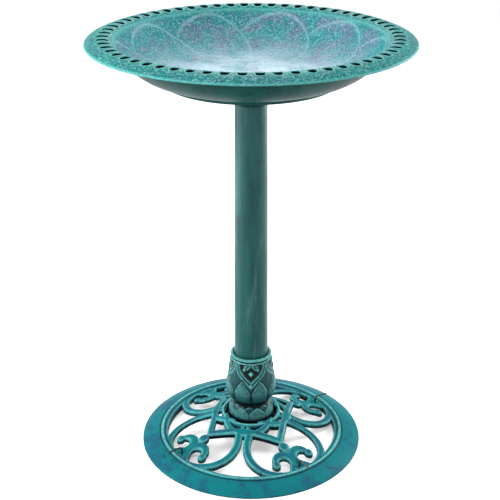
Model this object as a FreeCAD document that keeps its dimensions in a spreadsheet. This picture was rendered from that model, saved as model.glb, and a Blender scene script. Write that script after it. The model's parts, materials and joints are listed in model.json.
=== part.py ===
"""Pedestal bird bath: a pierced-rim bowl on a tapered post, a lotus-bud socket and an openwork base.

Millimetres, +Z up. The origin is the centre of the base's underside, on the ground.
"""
import FreeCAD, Part
import os
import re

import Sketcher

doc = FreeCAD.newDocument("bird_bath")

# ---------------------------------------------------------------- driving sizes
SIZES = [
    # base casting
    ("base_radius", 190, "outer radius of the base ring"),
    ("ring_width", 44, "base ring, from its outer edge to the openwork"),
    ("ring_crown", 14, "height of the ring's top at its bead"),
    ("ring_edge", 2.5, "height of the ring's thin outer edge"),
    ("ring_skin", 4, "thickness of the ring's sloping top"),
    ("ring_foot", 10, "width of the flat outer foot that stands on the ground"),
    ("inner_foot", 5, "width of the flat foot under the openwork's edge"),
    ("foot_chamfer", 3, "width of the slope from the outer foot up to the ring's skin"),
    ("foot_lift", 1.5, "height of the skin's underside over the ring's edge, at that slope"),
    ("edge_bevel", 3, "width of the bevel along the openwork's edge"),
    ("edge_drop", 1, "drop of that bevel at its top"),
    ("edge_side", 5, "height of the ring's side over which the bevel falls"),
    ("bead_width", 6, "width of the raised bead on the ring"),
    ("bead_rise", 2.5, "height of the bead above the ring"),
    ("bead_inset", 6.5, "bead's inner edge, from the openwork's edge"),
    ("hub_radius", 48.5, "radius of the raised lip round the hub's dish"),
    ("hub_seat", 40, "height of the dish floor that the bud socket stands on"),
    ("hub_lip_rise", 10, "height of the dish's lip above its floor"),
    ("hub_lip_width", 6, "width of the dish's lip"),
    ("hub_lip_crown", 2.5, "height of the rounding on the dish's lip"),
    ("hub_floor", 6, "thickness of the dish floor"),
    ("dish_slope", 2, "how far the dish's side leans in, down to its floor"),
    ("scroll_thickness", 9, "thickness of the openwork bars"),
    ("pattern_turn", -10.5, "angle of the first split bar from +X"),
    ("bar_width", 13, "width of the split bars"),
    ("bar_gap", 8, "half distance between two split bars where they part"),
    ("bar_start", 26, "where the split bars part, beyond the hub's lip"),
    ("bar_lean", 38, "direction of a split bar's bow, from its own axis"),
    ("bar_bury", 6.5, "how far a split bar's centreline runs into the ring"),
    ("bar_from", -100, "angle at which a split bar's bow starts"),
    ("bar_short", 8, "angle by which the bow ends short of its lean"),
    ("strap_width", 8.5, "width of the square strap and of the lobes"),
    ("strap_reach", 40.5, "corner of the square strap, beyond the hub's lip"),
    ("lobe_radius", 37, "centreline radius of the lobes round the hub"),
    ("lobe_inset", 20, "centre of a lobe, inside the hub's lip"),
    ("lobe_sweep", 95, "half angle of a lobe's arc"),
    ("horn_radius", 13.5, "centreline radius of a fleur's curled horn"),
    ("horn_spread", 18.9, "centre of a horn, from the fleur's axis"),
    ("horn_reach", 77.9, "centre of a horn, beyond the hub's lip"),
    ("horn_from", 15, "angle at which a horn's arc starts"),
    ("horn_to", 255, "angle at which a horn's arc ends"),
    ("arm_width", 11, "width of a fleur's arm"),
    ("stem_flare", 1, "how much the stem's half width grows towards the ring"),
    ("stem_lap", 6, "how far the stem starts inside the horns' centres"),
    ("tip_shift", 5, "how far a horn's blob lies beyond the horn's centre"),
    ("horn_tip", 6.5, "radius of the blob that ends a horn"),
    ("knob_radius", 10, "radius of the knob between strap and fleur"),
    ("ring_lap", 4, "how far the openwork's slope and stems run into the ring"),
    # ground pegs
    ("wire_radius", 1.5, "radius of the peg's wire"),
    ("peg_inset", 3.5, "peg's axis, inside the openwork's outer edge"),
    ("peg_play", 0.4, "radial clearance of a peg in its eyelet"),
    ("peg_height", 25, "height of the peg's arm over the ground"),
    ("peg_arm", 27, "length of the peg's arm"),
    ("peg_bend", 4, "radius of the peg's bend"),
    ("peg_floor_gap", 0.5, "end of the peg's leg above the ground"),
    ("eyelet_radius", 6, "radius of the recess round a peg"),
    ("eyelet_depth", 3, "depth of the recess round a peg"),
    # calyx ring
    ("calyx_height", 34, "height of the calyx ring"),
    ("calyx_radius", 36.5, "radius of the calyx ring's foot"),
    ("calyx_top_radius", 31, "radius of the calyx ring's top"),
    ("calyx_skirt", 20, "height of the calyx ring's upright foot"),
    # bud socket
    ("bud_height", 126, "height of the bud socket over the dish floor"),
    ("bud_stem_radius", 23.5, "radius of the bud's stem inside the calyx ring"),
    ("bud_neck_radius", 31, "radius of the bud just over the calyx ring"),
    ("bud_radius", 40, "largest radius of the bud"),
    ("bud_bulge_height", 64, "height of the bud's widest place"),
    ("bud_waist_radius", 36, "radius of the bud over its bulge"),
    ("bud_waist_height", 96, "height of that waist"),
    ("bud_collar_radius", 35, "radius of the bud's collar"),
    ("collar_relief", 1.3, "depth of the grooves beside the collar's rings"),
    ("collar_chamfer", 1, "height of the chamfers on the collar's rings"),
    ("bud_neck", 2, "height of the bud's straight neck over the calyx ring"),
    ("collar_ring", 3, "height of each ring on the collar"),
    ("collar_gap", 3, "height of the groove between the collar's rings"),
    ("bud_cup_floor", 53, "height of the shoulder that the post stands on"),
    ("bud_well_radius", 20, "radius of the well under the post"),
    ("bud_floor", 16, "thickness of the bud's solid foot"),
    ("post_play", 0.4, "radial clearance of the post in the bud socket"),
    # post
    ("post_foot_radius", 29, "outer radius of the post at its foot"),
    ("post_top_radius", 25.5, "outer radius of the post at its shoulder"),
    ("post_length", 509, "length of the post from its foot to its shoulder"),
    ("post_wall", 3, "wall of the post"),
    ("spigot_radius", 22, "outer radius of the spigot on top of the post"),
    ("spigot_length", 29, "length of that spigot"),
    ("plug_rim", 3, "thickness of the rims of the post's two end plugs"),
    ("plug_depth", 12, "depth of the end plugs inside the post"),
    ("plug_wall", 3, "wall of the end plugs"),
    ("plug_inset", 0.5, "foot plug's rim, inside the post's outer face"),
    # bowl socket
    ("sleeve_length", 32, "length of the bowl's socket, flange included"),
    ("sleeve_wall", 4, "wall of the bowl's socket"),
    ("sleeve_play", 0.35, "radial clearance of the spigot in the socket"),
    ("flange_radius", 46, "radius of the socket's flange"),
    ("flange_thickness", 4, "thickness of the socket's flange"),
    # screws
    ("screw_circle", 38, "radius of the circle of socket screws"),
    ("screw_count", 4, "number of socket screws"),
    ("screw_radius", 1.75, "radius of a socket screw's thread"),
    ("screw_bite", 0.2, "how deep a thread cuts into its boss"),
    ("screw_length", 10, "length of a socket screw under its head"),
    ("screw_head_radius", 3.6, "radius of a socket screw's head"),
    ("screw_head", 2.4, "thickness of a socket screw's head"),
    ("screw_play", 0.3, "radial clearance of a screw in the flange"),
    ("boss_radius", 5, "radius of a screw boss under the bowl"),
    ("boss_height", 8, "height of a screw boss under the bowl"),
    # base bolt
    ("bolt_radius", 4, "radius of the base bolt"),
    ("bolt_play", 0.4, "radial clearance of the base bolt"),
    ("bolt_reach", 22, "length of the bolt above the dish floor"),
    ("bolt_flats", 13, "size across the flats of bolt head and nut"),
    ("bolt_head", 5.3, "thickness of the bolt head"),
    ("nut_height", 6.5, "thickness of the nut"),
    ("thread_bite", 0.1, "radial overlap of the nut's thread and the bolt's"),
    ("washer_radius", 12, "outer radius of the washer"),
    ("washer_thickness", 1.6, "thickness of the washer"),
    # bowl
    ("bowl_radius", 251, "outer radius of the bowl's rim"),
    ("bowl_height", 70, "height of the bowl, foot to crest"),
    ("bowl_wall", 3, "wall of the bowl"),
    ("mouth_offset", 2.8, "how far the wall's outer turn lies outside its inner turn, at the rim"),
    ("heel_width", 1.5, "width of the heel between the foot ring and the bowl's wall"),
    ("pilot_spare", 0.5, "depth of a boss's hole beyond the screw's end"),
    ("rim_drop", 7.5, "how far the rim's edge lies under its crest"),
    ("rim_outer", 28, "width of the rim from its crest to its edge"),
    ("rim_inner", 16, "width of the rim from its crest to the basin"),
    ("rim_step", 5.5, "how far the basin's edge lies under the crest"),
    ("floor_flat", 122, "radius of the basin's flat floor"),
    ("foot_radius", 137, "radius of the bowl's foot ring"),
    ("foot_width", 6, "width of the bowl's foot ring"),
    ("foot_rise", 4, "height of the bowl's underside over its foot ring"),
    ("slot_count", 60, "number of slots through the rim"),
    ("slot_length", 20, "length of a slot, across the rim"),
    ("slot_width", 13, "width of a slot, along the rim"),
    ("slot_bow", 4, "how far a slot's rounded end bows out"),
]
PEG_QUARTERS = {"ground_peg_back": 0, "ground_peg_left": 2, "ground_peg_right": 3}
QUARTERS = 4
OVERRUN = 5  # how far a cutting outline runs past what it cuts

sheet = doc.addObject("Spreadsheet::Sheet", "sizes")
for row, (alias, size, meaning) in enumerate(SIZES, start=1):
    sheet.set(f"A{row}", meaning)
    sheet.set(f"B{row}", str(size))
    sheet.setAlias(f"B{row}", alias)
doc.recompute()

ALIASES = re.compile(r"\b(" + "|".join(alias for alias, _, _ in SIZES) + r")\b")

# places that several pieces share, as formulas of the sizes
OPEN_EDGE = "(base_radius - ring_width)"
CONE_TOP = "(hub_seat + hub_lip_rise)"
PLUG_LEVEL = "(hub_seat + bud_cup_floor)"
POST_LEVEL = f"({PLUG_LEVEL} + plug_rim)"
SHOULDER = f"({POST_LEVEL} + post_length)"
FLANGE_TOP = f"({SHOULDER} + sleeve_length)"
BOWL_LEVEL = f"({FLANGE_TOP} + boss_height - foot_rise)"
CUP_RADIUS = "(post_foot_radius + post_play)"
SLEEVE_BORE = "(spigot_radius + sleeve_play)"


# ---------------------------------------------------------------- helpers
def formula(text):
    """The text with every size's name turned into a reference to the sheet."""
    return ALIASES.sub(r"sizes.\1", str(text))


def number(text):
    """What a formula comes to."""
    return float(sheet.evalExpression(formula(text)))


def bind(thing, **properties):
    """Bind properties of an object to formulas; two underscores stand for a dot."""
    for name, text in properties.items():
        thing.setExpression(name.replace("__", "."), formula(text))


def new_body(name):
    """An empty body with a sub-part's name."""
    body = doc.addObject("PartDesign::Body", name)
    body.Label = name
    body.AllowCompound = True
    return body


def origin_part(body, role):
    """One of a body's own origin planes or axes."""
    for feature in body.Origin.OriginFeatures:
        if feature.Role == role:
            return feature
    raise ValueError(role)


def outline(body, name, plane, corners):
    """A closed sketch. A corner is (across, up), or (across, up, radius) if the edge that follows
    is an arc: a positive radius bows to the right of the way round, a negative one to the left."""
    sketch = body.newObject("Sketcher::SketchObject", name)
    sketch.AttachmentSupport = (origin_part(body, plane), [""])
    sketch.MapMode = "FlatFace"
    spots = [FreeCAD.Vector(number(c[0]), number(c[1]), 0) for c in corners]
    ends = []
    for i, corner in enumerate(corners):
        here, there = spots[i], spots[(i + 1) % len(spots)]
        if len(corner) == 2:
            sketch.addGeometry(Part.LineSegment(here, there), False)
            ends.append((1, 2))
            continue
        radius = number(corner[2])
        along = there - here
        left = FreeCAD.Vector(-along.y, along.x, 0).normalize()
        rise = max(radius ** 2 - along.Length ** 2 / 4, 0) ** 0.5
        centre = (here + there) / 2 + left * (rise if radius > 0 else -rise)
        first, last = (here, there) if radius > 0 else (there, here)
        circle = Part.Circle(centre, FreeCAD.Vector(0, 0, 1), abs(radius))
        arc = Part.ArcOfCircle(circle, circle.parameter(first), circle.parameter(last))
        sketch.addGeometry(arc, False)
        ends.append((1, 2) if radius > 0 else (2, 1))
    for i, corner in enumerate(corners):
        after = (i + 1) % len(corners)
        join = Sketcher.Constraint("Coincident", i, ends[i][1], after, ends[after][0])
        sketch.addConstraint(join)
        for kind, axis, text in (("DistanceX", -2, corner[0]), ("DistanceY", -1, corner[1])):
            if text == 0:
                sketch.addConstraint(Sketcher.Constraint("PointOnObject", i, ends[i][0], axis))
                continue
            pin = Sketcher.Constraint(kind, -1, 1, i, ends[i][0], number(text))
            which = sketch.addConstraint(pin)
            sketch.setExpression(f"Constraints[{which}]", formula(text))
        if len(corner) == 3:
            bow = Sketcher.Constraint("Radius", i, abs(number(corner[2])))
            which = sketch.addConstraint(bow)
            sketch.setExpression(f"Constraints[{which}]", formula(f"abs({corner[2]})"))
    return sketch


def disc(body, name, across, up, radius):
    """A sketch of one circle on the body's XY plane."""
    sketch = body.newObject("Sketcher::SketchObject", name)
    sketch.AttachmentSupport = (origin_part(body, "XY_Plane"), [""])
    sketch.MapMode = "FlatFace"
    centre = FreeCAD.Vector(number(across), number(up), 0)
    sketch.addGeometry(Part.Circle(centre, FreeCAD.Vector(0, 0, 1), number(radius)), False)
    for kind, axis, text in (("DistanceX", -2, across), ("DistanceY", -1, up)):
        if text == 0:
            sketch.addConstraint(Sketcher.Constraint("PointOnObject", 0, 3, axis))
            continue
        which = sketch.addConstraint(Sketcher.Constraint(kind, -1, 1, 0, 3, number(text)))
        sketch.setExpression(f"Constraints[{which}]", formula(text))
    which = sketch.addConstraint(Sketcher.Constraint("Radius", 0, number(radius)))
    sketch.setExpression(f"Constraints[{which}]", formula(radius))
    return sketch


def hexagon(flats, turn=30):
    """The corners of a hexagon on the origin, from its size across the flats."""
    corner = f"({flats}) / 2 / cos(30)"
    return [(f"{corner} * cos({turn + 60 * i})", f"{corner} * sin({turn + 60 * i})") for i in range(6)]


def turned(body, name, corners, kind="PartDesign::Revolution"):
    """Turn an outline of (radius, height) corners about the body's own Z axis."""
    sketch = outline(body, f"{name}_outline", "XZ_Plane", corners)
    solid = body.newObject(kind, name)
    solid.Profile = sketch
    solid.ReferenceAxis = (sketch, ["V_Axis"])
    solid.Angle = 360
    doc.recompute()
    return solid


def padded(body, name, sketch, height):
    """Raise a sketch by a height."""
    pad = body.newObject("PartDesign::Pad", name)
    pad.Profile = sketch
    bind(pad, Length=height)
    doc.recompute()
    return pad


def pocketed(body, name, sketch, start, depth):
    """Cut a sketch upwards from a start height, and check that it removes material."""
    before = body.Shape.Volume
    sketch.setExpression("AttachmentOffset.Base.z", formula(start))
    pocket = body.newObject("PartDesign::Pocket", name)
    pocket.Profile = sketch
    pocket.Reversed = True
    bind(pocket, Length=depth)
    doc.recompute()
    if not body.Shape.Volume < before:
        raise ValueError(f"{name} cuts nothing")
    return pocket


def repeated(body, name, features, count):
    """Repeat features round the body's Z axis."""
    pattern = body.newObject("PartDesign::PolarPattern", name)
    pattern.Originals = features
    pattern.Axis = (origin_part(body, "Z_Axis"), [""])
    pattern.Angle = 360
    bind(pattern, Occurrences=count)
    body.Tip = pattern
    doc.recompute()
    return pattern


def tangent_radius(across, rise):
    """Radius of an arc that starts level and climbs by rise over a distance across."""
    return f"((({across}) ^ 2 + ({rise}) ^ 2) / (2 * ({rise})))"


def polar(radius, angle, centre=("0", "0")):
    """A point at a radius and angle from a centre, as a pair of formulas."""
    return (f"{centre[0]} + ({radius}) * cos({angle})", f"{centre[1]} + ({radius}) * sin({angle})")


def spun(point, angle):
    """A pair of formulas turned about the origin by an angle."""
    x, y = point
    return (f"({x}) * cos({angle}) - ({y}) * sin({angle})",
            f"({x}) * sin({angle}) + ({y}) * cos({angle})")


def bow(centre, radius, width, start, end, frame):
    """The outline of a curved bar, from one angle to another about a centre, in a turned frame."""
    outer, inner = f"({radius} + {width} / 2)", f"({radius} - {width} / 2)"
    middle = f"(({start}) + ({end})) / 2"
    return [
        (*spun(polar(outer, start, centre), frame), outer),
        (*spun(polar(outer, middle, centre), frame), outer),
        spun(polar(outer, end, centre), frame),
        (*spun(polar(inner, end, centre), frame), f"-{inner}"),
        (*spun(polar(inner, middle, centre), frame), f"-{inner}"),
        spun(polar(inner, start, centre), frame),
    ]


def flipped(centre, start, end, side):
    """The same bow on the other side of its axis, when side is -1."""
    if side > 0:
        return centre, start, end
    return (centre[0], f"-({centre[1]})"), f"-({end})", f"-({start})"


# ---------------------------------------------------------------- base
def make_base():
    """One moulding: the ground ring, the openwork cone, the hub's dish and the peg eyelets."""
    body = new_body("base")
    rise = f"({CONE_TOP} + {OVERRUN})"
    axis_of_bars = "pattern_turn"
    axis_of_fleur = "(pattern_turn + 45)"

    # a hub disc, with the openwork's bars standing on the ground as prisms for now
    padded(body, "hub_disc", disc(body, "hub_circle", 0, 0, "hub_radius"), rise)
    prisms = []

    def prism(name, corners):
        prisms.append(padded(body, name, outline(body, f"{name}_outline", "XY_Plane", corners), rise))

    # split bars bow out from the strap and run into the ring
    part_x = "(hub_radius + bar_start)"
    reach = f"({OPEN_EDGE} + bar_bury)"
    nearness = f"({part_x} * cos(bar_lean) + bar_gap * sin(bar_lean))"
    bar_radius = (f"(({reach} ^ 2 - 2 * {reach} * {nearness} + {part_x} ^ 2 + bar_gap ^ 2)"
                  f" / (2 * ({reach} - {nearness})))")
    bar_centre = polar(f"({reach} - {bar_radius})", "bar_lean")
    for side, word in ((1, "a"), (-1, "b")):
        centre, start, end = flipped(bar_centre, "bar_from", "bar_lean - bar_short", side)
        prism(f"bar_{word}", bow(centre, bar_radius, "bar_width", start, end, axis_of_bars))

    # square strap: one side spans two fleur axes, square across a bar axis
    corner = "((hub_radius + strap_reach) / sqrt(2))"
    near, far = f"({corner} - strap_width / 2)", f"({corner} + strap_width / 2)"
    side_corners = [(near, f"-{far}"), (far, f"-{far}"), (far, far), (near, far)]
    prism("strap", [spun(point, axis_of_bars) for point in side_corners])

    # lobe round the bar axis, and the double bracket from hub to strap
    lobe_centre = ("(hub_radius - lobe_inset)", "0")
    prism("lobe", bow(lobe_centre, "lobe_radius", "strap_width", "-lobe_sweep", "lobe_sweep", axis_of_bars))
    reach_in, reach_out = "(hub_radius - hub_lip_width)", corner
    bracket = [(reach_in, "-bar_gap"), (reach_out, "-bar_gap"), (reach_out, "bar_gap"),
               (reach_in, "bar_gap")]
    prism("bracket", [spun(point, axis_of_bars) for point in bracket])

    # fleur: stem, two curled horns with blob tips, and a knob that meets the strap's corner
    horn_centre = ("(hub_radius + horn_reach)", "horn_spread")
    for side, word in ((1, "a"), (-1, "b")):
        centre, start, end = flipped(horn_centre, "horn_from", "horn_to", side)
        prism(f"horn_{word}", bow(centre, "horn_radius", "arm_width", start, end, axis_of_fleur))
        blob = (f"({horn_centre[0]} + tip_shift)", f"{side} * ({horn_centre[1]} + horn_radius)")
        across, up = spun(blob, axis_of_fleur)
        prisms.append(padded(body, f"blob_{word}", disc(body, f"blob_{word}_circle", across, up, "horn_tip"),
                             rise))
    stem_start, stem_end = "(hub_radius + horn_reach - stem_lap)", f"({OPEN_EDGE} + ring_lap)"
    stem = [(stem_start, "-arm_width"), (stem_end, "-(arm_width + stem_flare)"),
            (stem_end, "(arm_width + stem_flare)"), (stem_start, "arm_width")]
    prism("stem", [spun(point, axis_of_fleur) for point in stem])
    across, up = spun(("(hub_radius + strap_reach + knob_radius)", "0"), axis_of_fleur)
    prisms.append(padded(body, "knob", disc(body, "knob_circle", across, up, "knob_radius"), rise))
    repeated(body, "openwork", prisms, QUARTERS)

    # the prisms are trimmed to a shallow cone, above and below
    outside = "(base_radius - ring_width / 2)"
    slope_end = f"({OPEN_EDGE} + ring_lap)"
    turned(body, "cone_top", [
        (0, f"{rise} + {OVERRUN}"), (0, CONE_TOP), ("hub_radius", CONE_TOP),
        (slope_end, "ring_crown"), (outside, "ring_crown"), (outside, f"{rise} + {OVERRUN}")],
        "PartDesign::Groove")
    turned(body, "cone_under", [
        (0, -OVERRUN), (outside, -OVERRUN), (outside, "ring_crown - scroll_thickness"),
        (slope_end, "ring_crown - scroll_thickness"),
        ("hub_radius", f"{CONE_TOP} - scroll_thickness"),
        ("hub_radius - hub_lip_width", "hub_seat - hub_floor"), (0, "hub_seat - hub_floor")],
        "PartDesign::Groove")

    # ground ring: a thin edge, a sloping top, a round bead, and a hollow underside
    bead_in = f"({OPEN_EDGE} + bead_inset)"
    bead_out = f"({bead_in} + bead_width)"
    bead_arc = tangent_radius("bead_width / 2", "bead_rise")
    lip_arc = tangent_radius("hub_lip_width / 2", "hub_lip_crown")
    lip_foot = f"({CONE_TOP} - hub_lip_crown)"
    foot_edge = f"({OPEN_EDGE} + inner_foot)"
    turned(body, "ring", [
        (OPEN_EDGE, 0), (foot_edge, 0), (foot_edge, "ring_crown - ring_skin - edge_drop"),
        (bead_out, "ring_crown - ring_skin"),
        ("base_radius - ring_foot - foot_chamfer", "ring_edge + foot_lift"),
        ("base_radius - ring_foot", 0), ("base_radius", 0), ("base_radius", "ring_edge"),
        (bead_out, "ring_crown", bead_arc), (bead_in, "ring_crown"),
        (f"{OPEN_EDGE} + edge_bevel", "ring_crown - edge_drop"),
        (OPEN_EDGE, "ring_crown - edge_side")])

    # hub lip, then the dish and the bolt hole are cut
    lip_in, lip_out = "(hub_radius - hub_lip_width / 2)", "(hub_radius + hub_lip_width / 2)"
    turned(body, "hub_lip", [
        (f"{lip_in} - dish_slope", "hub_seat - hub_floor"), (lip_out, "hub_seat - hub_floor"),
        (lip_out, lip_foot, lip_arc), (lip_in, lip_foot),
        (f"{lip_in} - dish_slope", "hub_seat")])
    turned(body, "dish", [
        (0, "hub_seat"), (f"{lip_in} - dish_slope", "hub_seat"), (lip_in, lip_foot),
        (lip_in, f"{rise} + {OVERRUN}"), (0, f"{rise} + {OVERRUN}")], "PartDesign::Groove")
    hole = disc(body, "bolt_circle", 0, 0, "bolt_radius + bolt_play")
    pocketed(body, "bolt_hole", hole, 0, f"hub_seat + {OVERRUN}")

    # a recessed eyelet for each peg, in the foot of its fleur
    for name, quarter in PEG_QUARTERS.items():
        angle = f"(pattern_turn + 45 + {90 * quarter})"
        across, up = polar(f"({OPEN_EDGE} - peg_inset)", angle)
        hole = disc(body, f"{name}_circle", across, up, "wire_radius + peg_play")
        pocketed(body, f"{name}_hole", hole, 0, rise)
        recess = disc(body, f"{name}_recess", across, up, "eyelet_radius")
        pocketed(body, f"{name}_eyelet", recess, "ring_crown - eyelet_depth", rise)
    return body


# ---------------------------------------------------------------- bud, calyx and fasteners
def make_calyx_ring():
    """A ring of short petals that stands in the dish, round the bud's stem."""
    body = new_body("calyx_ring")
    bind(body, Placement__Base__z="hub_seat")
    turned(body, "ring", [
        ("bud_stem_radius + post_play", 0), ("calyx_radius", 0), ("calyx_radius", "calyx_skirt"),
        ("calyx_top_radius", "calyx_height"), ("bud_stem_radius + post_play", "calyx_height")])
    return body


def make_bud_socket():
    """The lotus bud: a cup for the post's foot, a well under it, and a hexagonal seat for the nut."""
    body = new_body("bud_socket")
    bind(body, Placement__Base__z="hub_seat")
    neck_to_bulge = tangent_radius("bud_bulge_height - calyx_height - bud_neck",
                                   "bud_radius - bud_neck_radius")
    bulge_to_waist = tangent_radius("bud_waist_height - bud_bulge_height",
                                    "bud_radius - bud_waist_radius")
    lower_ring = "(bud_height - 2 * collar_ring - collar_gap)"
    collar_neck = "(bud_collar_radius - collar_relief)"
    turned(body, "bud", [
        (0, 0), ("bud_stem_radius", 0), ("bud_stem_radius", "calyx_height"),
        ("bud_neck_radius", "calyx_height"),
        ("bud_neck_radius", "calyx_height + bud_neck", neck_to_bulge),
        ("bud_radius", "bud_bulge_height", bulge_to_waist),
        ("bud_waist_radius", "bud_waist_height"),
        (collar_neck, lower_ring), ("bud_collar_radius", f"{lower_ring} + collar_chamfer"),
        ("bud_collar_radius", f"{lower_ring} + collar_ring - collar_chamfer"),
        (collar_neck, f"{lower_ring} + collar_ring"), (collar_neck, "bud_height - collar_ring"),
        ("bud_collar_radius", "bud_height - collar_ring + collar_chamfer"),
        ("bud_collar_radius", "bud_height"),
        (CUP_RADIUS, "bud_height"), (CUP_RADIUS, "bud_cup_floor"),
        ("bud_well_radius", "bud_cup_floor"), ("bud_well_radius", "bud_floor"), (0, "bud_floor")])
    seat = outline(body, "nut_seat_outline", "XY_Plane", hexagon("bolt_flats + bolt_play"))
    pocketed(body, "nut_seat", seat, "bud_floor - nut_height", f"nut_height + {OVERRUN}")
    hole = disc(body, "bolt_circle", 0, 0, "bolt_radius + bolt_play")
    pocketed(body, "bolt_hole", hole, -OVERRUN, f"bud_floor + {2 * OVERRUN}")
    return body


def make_base_bolt():
    """A hexagon-head bolt, up through the hub's floor into the nut."""
    body = new_body("base_bolt")
    bind(body, Placement__Base__z="hub_seat - hub_floor - washer_thickness - bolt_head")
    padded(body, "head", outline(body, "head_outline", "XY_Plane", hexagon("bolt_flats")), "bolt_head")
    shank = disc(body, "shank_circle", 0, 0, "bolt_radius")
    padded(body, "shank", shank, "bolt_head + washer_thickness + hub_floor + bolt_reach")
    return body


def make_base_nut():
    """The nut held in the bud's foot."""
    body = new_body("base_nut")
    bind(body, Placement__Base__z="hub_seat + bud_floor - nut_height")
    padded(body, "nut", outline(body, "nut_outline", "XY_Plane", hexagon("bolt_flats")), "nut_height")
    bore = disc(body, "bore_circle", 0, 0, "bolt_radius - thread_bite")
    pocketed(body, "bore", bore, -OVERRUN, f"nut_height + {2 * OVERRUN}")
    return body


def make_base_washer():
    """The flat washer under the bolt's head."""
    outer = doc.addObject("Part::Cylinder", "washer_disc")
    bind(outer, Radius="washer_radius", Height="washer_thickness")
    bore = doc.addObject("Part::Cylinder", "washer_bore")
    bind(bore, Radius="bolt_radius + bolt_play", Height="washer_thickness")
    washer = doc.addObject("Part::Cut", "base_washer")
    washer.Base = outer
    washer.Tool = bore
    bind(washer, Placement__Base__z="hub_seat - hub_floor - washer_thickness")
    return washer


def make_ground_peg(name, quarter):
    """A bent wire peg: its leg stands in an eyelet and its arm lies out over the ring."""
    body = new_body(name)
    angle = f"(pattern_turn + 45 + {90 * quarter})"
    across, up = polar(f"({OPEN_EDGE} - peg_inset)", angle)
    body.Placement.Rotation = FreeCAD.Rotation(FreeCAD.Vector(0, 0, 1), number(angle))
    bind(body, Placement__Base__x=across, Placement__Base__y=up, Placement__Base__z="peg_floor_gap",
         Placement__Rotation__Angle=f"{angle} * 1 deg")
    spine = body.newObject("Sketcher::SketchObject", "spine")
    spine.AttachmentSupport = (origin_part(body, "XZ_Plane"), [""])
    spine.MapMode = "FlatFace"
    bend, top, arm = number("peg_bend"), number("peg_height - peg_floor_gap"), number("peg_arm")
    knee = FreeCAD.Vector(0, top - bend, 0)
    elbow = FreeCAD.Vector(bend, top, 0)
    circle = Part.Circle(FreeCAD.Vector(bend, top - bend, 0), FreeCAD.Vector(0, 0, 1), bend)
    spine.addGeometry(Part.LineSegment(FreeCAD.Vector(0, 0, 0), knee), False)
    spine.addGeometry(Part.ArcOfCircle(circle, circle.parameter(elbow), circle.parameter(knee)), False)
    spine.addGeometry(Part.LineSegment(elbow, FreeCAD.Vector(arm, top, 0)), False)
    spine.addConstraint(Sketcher.Constraint("Coincident", 0, 1, -1, 1))
    spine.addConstraint(Sketcher.Constraint("PointOnObject", 0, 2, -2))
    spine.addConstraint(Sketcher.Constraint("Tangent", 0, 2, 1, 2))
    spine.addConstraint(Sketcher.Constraint("Tangent", 1, 1, 2, 1))
    spine.addConstraint(Sketcher.Constraint("Horizontal", 2))
    for constraint, text in (
            (Sketcher.Constraint("Radius", 1, bend), "peg_bend"),
            (Sketcher.Constraint("DistanceY", -1, 1, 2, 2, top), "peg_height - peg_floor_gap"),
            (Sketcher.Constraint("DistanceX", -1, 1, 2, 2, arm), "peg_arm")):
        which = spine.addConstraint(constraint)
        spine.setExpression(f"Constraints[{which}]", formula(text))
    wire = disc(body, "wire_circle", 0, 0, "wire_radius")
    pipe = body.newObject("PartDesign::AdditivePipe", "wire")
    pipe.Profile = wire
    pipe.Spine = (spine, [""])
    doc.recompute()
    return body


# ---------------------------------------------------------------- post
def make_post():
    """The tapered tube, with a narrower spigot on its shoulder for the bowl's socket."""
    body = new_body("post")
    bind(body, Placement__Base__z=POST_LEVEL)
    turned(body, "tube", [
        ("post_foot_radius - post_wall", 0), ("post_foot_radius", 0),
        ("post_top_radius", "post_length"), ("spigot_radius", "post_length"),
        ("spigot_radius", "post_length + spigot_length"),
        ("spigot_radius - post_wall", "post_length + spigot_length"),
        ("spigot_radius - post_wall", "post_length - post_wall"),
        ("post_top_radius - post_wall", "post_length - 2 * post_wall")])
    return body


def make_post_cap():
    """A cap pushed into the open top of the spigot."""
    body = new_body("post_cap")
    bind(body, Placement__Base__z=f"{SHOULDER} + spigot_length")
    turned(body, "cap", [
        (0, 0), ("spigot_radius - post_wall - plug_wall", 0),
        ("spigot_radius - post_wall - plug_wall", "-plug_depth"),
        ("spigot_radius - post_wall", "-plug_depth"), ("spigot_radius - post_wall", 0),
        ("spigot_radius", 0), ("spigot_radius", "plug_rim"), (0, "plug_rim")])
    return body


def make_post_foot_plug():
    """A plug pushed into the post's foot; its rim stands on the bud socket's shoulder."""
    body = new_body("post_foot_plug")
    bind(body, Placement__Base__z=PLUG_LEVEL)
    bore_at_plug = ("(post_foot_radius - post_wall - (post_foot_radius - post_top_radius)"
                    " * plug_depth / (post_length - 2 * post_wall))")
    rim = "(post_foot_radius - plug_inset)"
    turned(body, "plug", [
        (0, 0), (rim, 0), (rim, "plug_rim"),
        (bore_at_plug, "plug_rim"), (bore_at_plug, "plug_rim + plug_depth"),
        (f"{bore_at_plug} - plug_wall", "plug_rim + plug_depth"),
        (f"{bore_at_plug} - plug_wall", "plug_rim"), (0, "plug_rim")])
    return body


# ---------------------------------------------------------------- bowl and its socket
def make_bowl_socket():
    """A flanged sleeve screwed under the bowl; it drops over the post's spigot."""
    body = new_body("bowl_socket")
    bind(body, Placement__Base__z=SHOULDER)
    turned(body, "sleeve", [
        (SLEEVE_BORE, 0), (f"{SLEEVE_BORE} + sleeve_wall", 0),
        (f"{SLEEVE_BORE} + sleeve_wall", "sleeve_length - flange_thickness"),
        ("flange_radius", "sleeve_length - flange_thickness"), ("flange_radius", "sleeve_length"),
        (SLEEVE_BORE, "sleeve_length")])
    hole = disc(body, "screw_circle_first", "screw_circle", 0, "screw_radius + screw_play")
    first = pocketed(body, "screw_hole", hole, f"sleeve_length - flange_thickness - {OVERRUN}",
                     f"flange_thickness + {2 * OVERRUN}")
    repeated(body, "screw_holes", [first], "screw_count")
    return body


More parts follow.
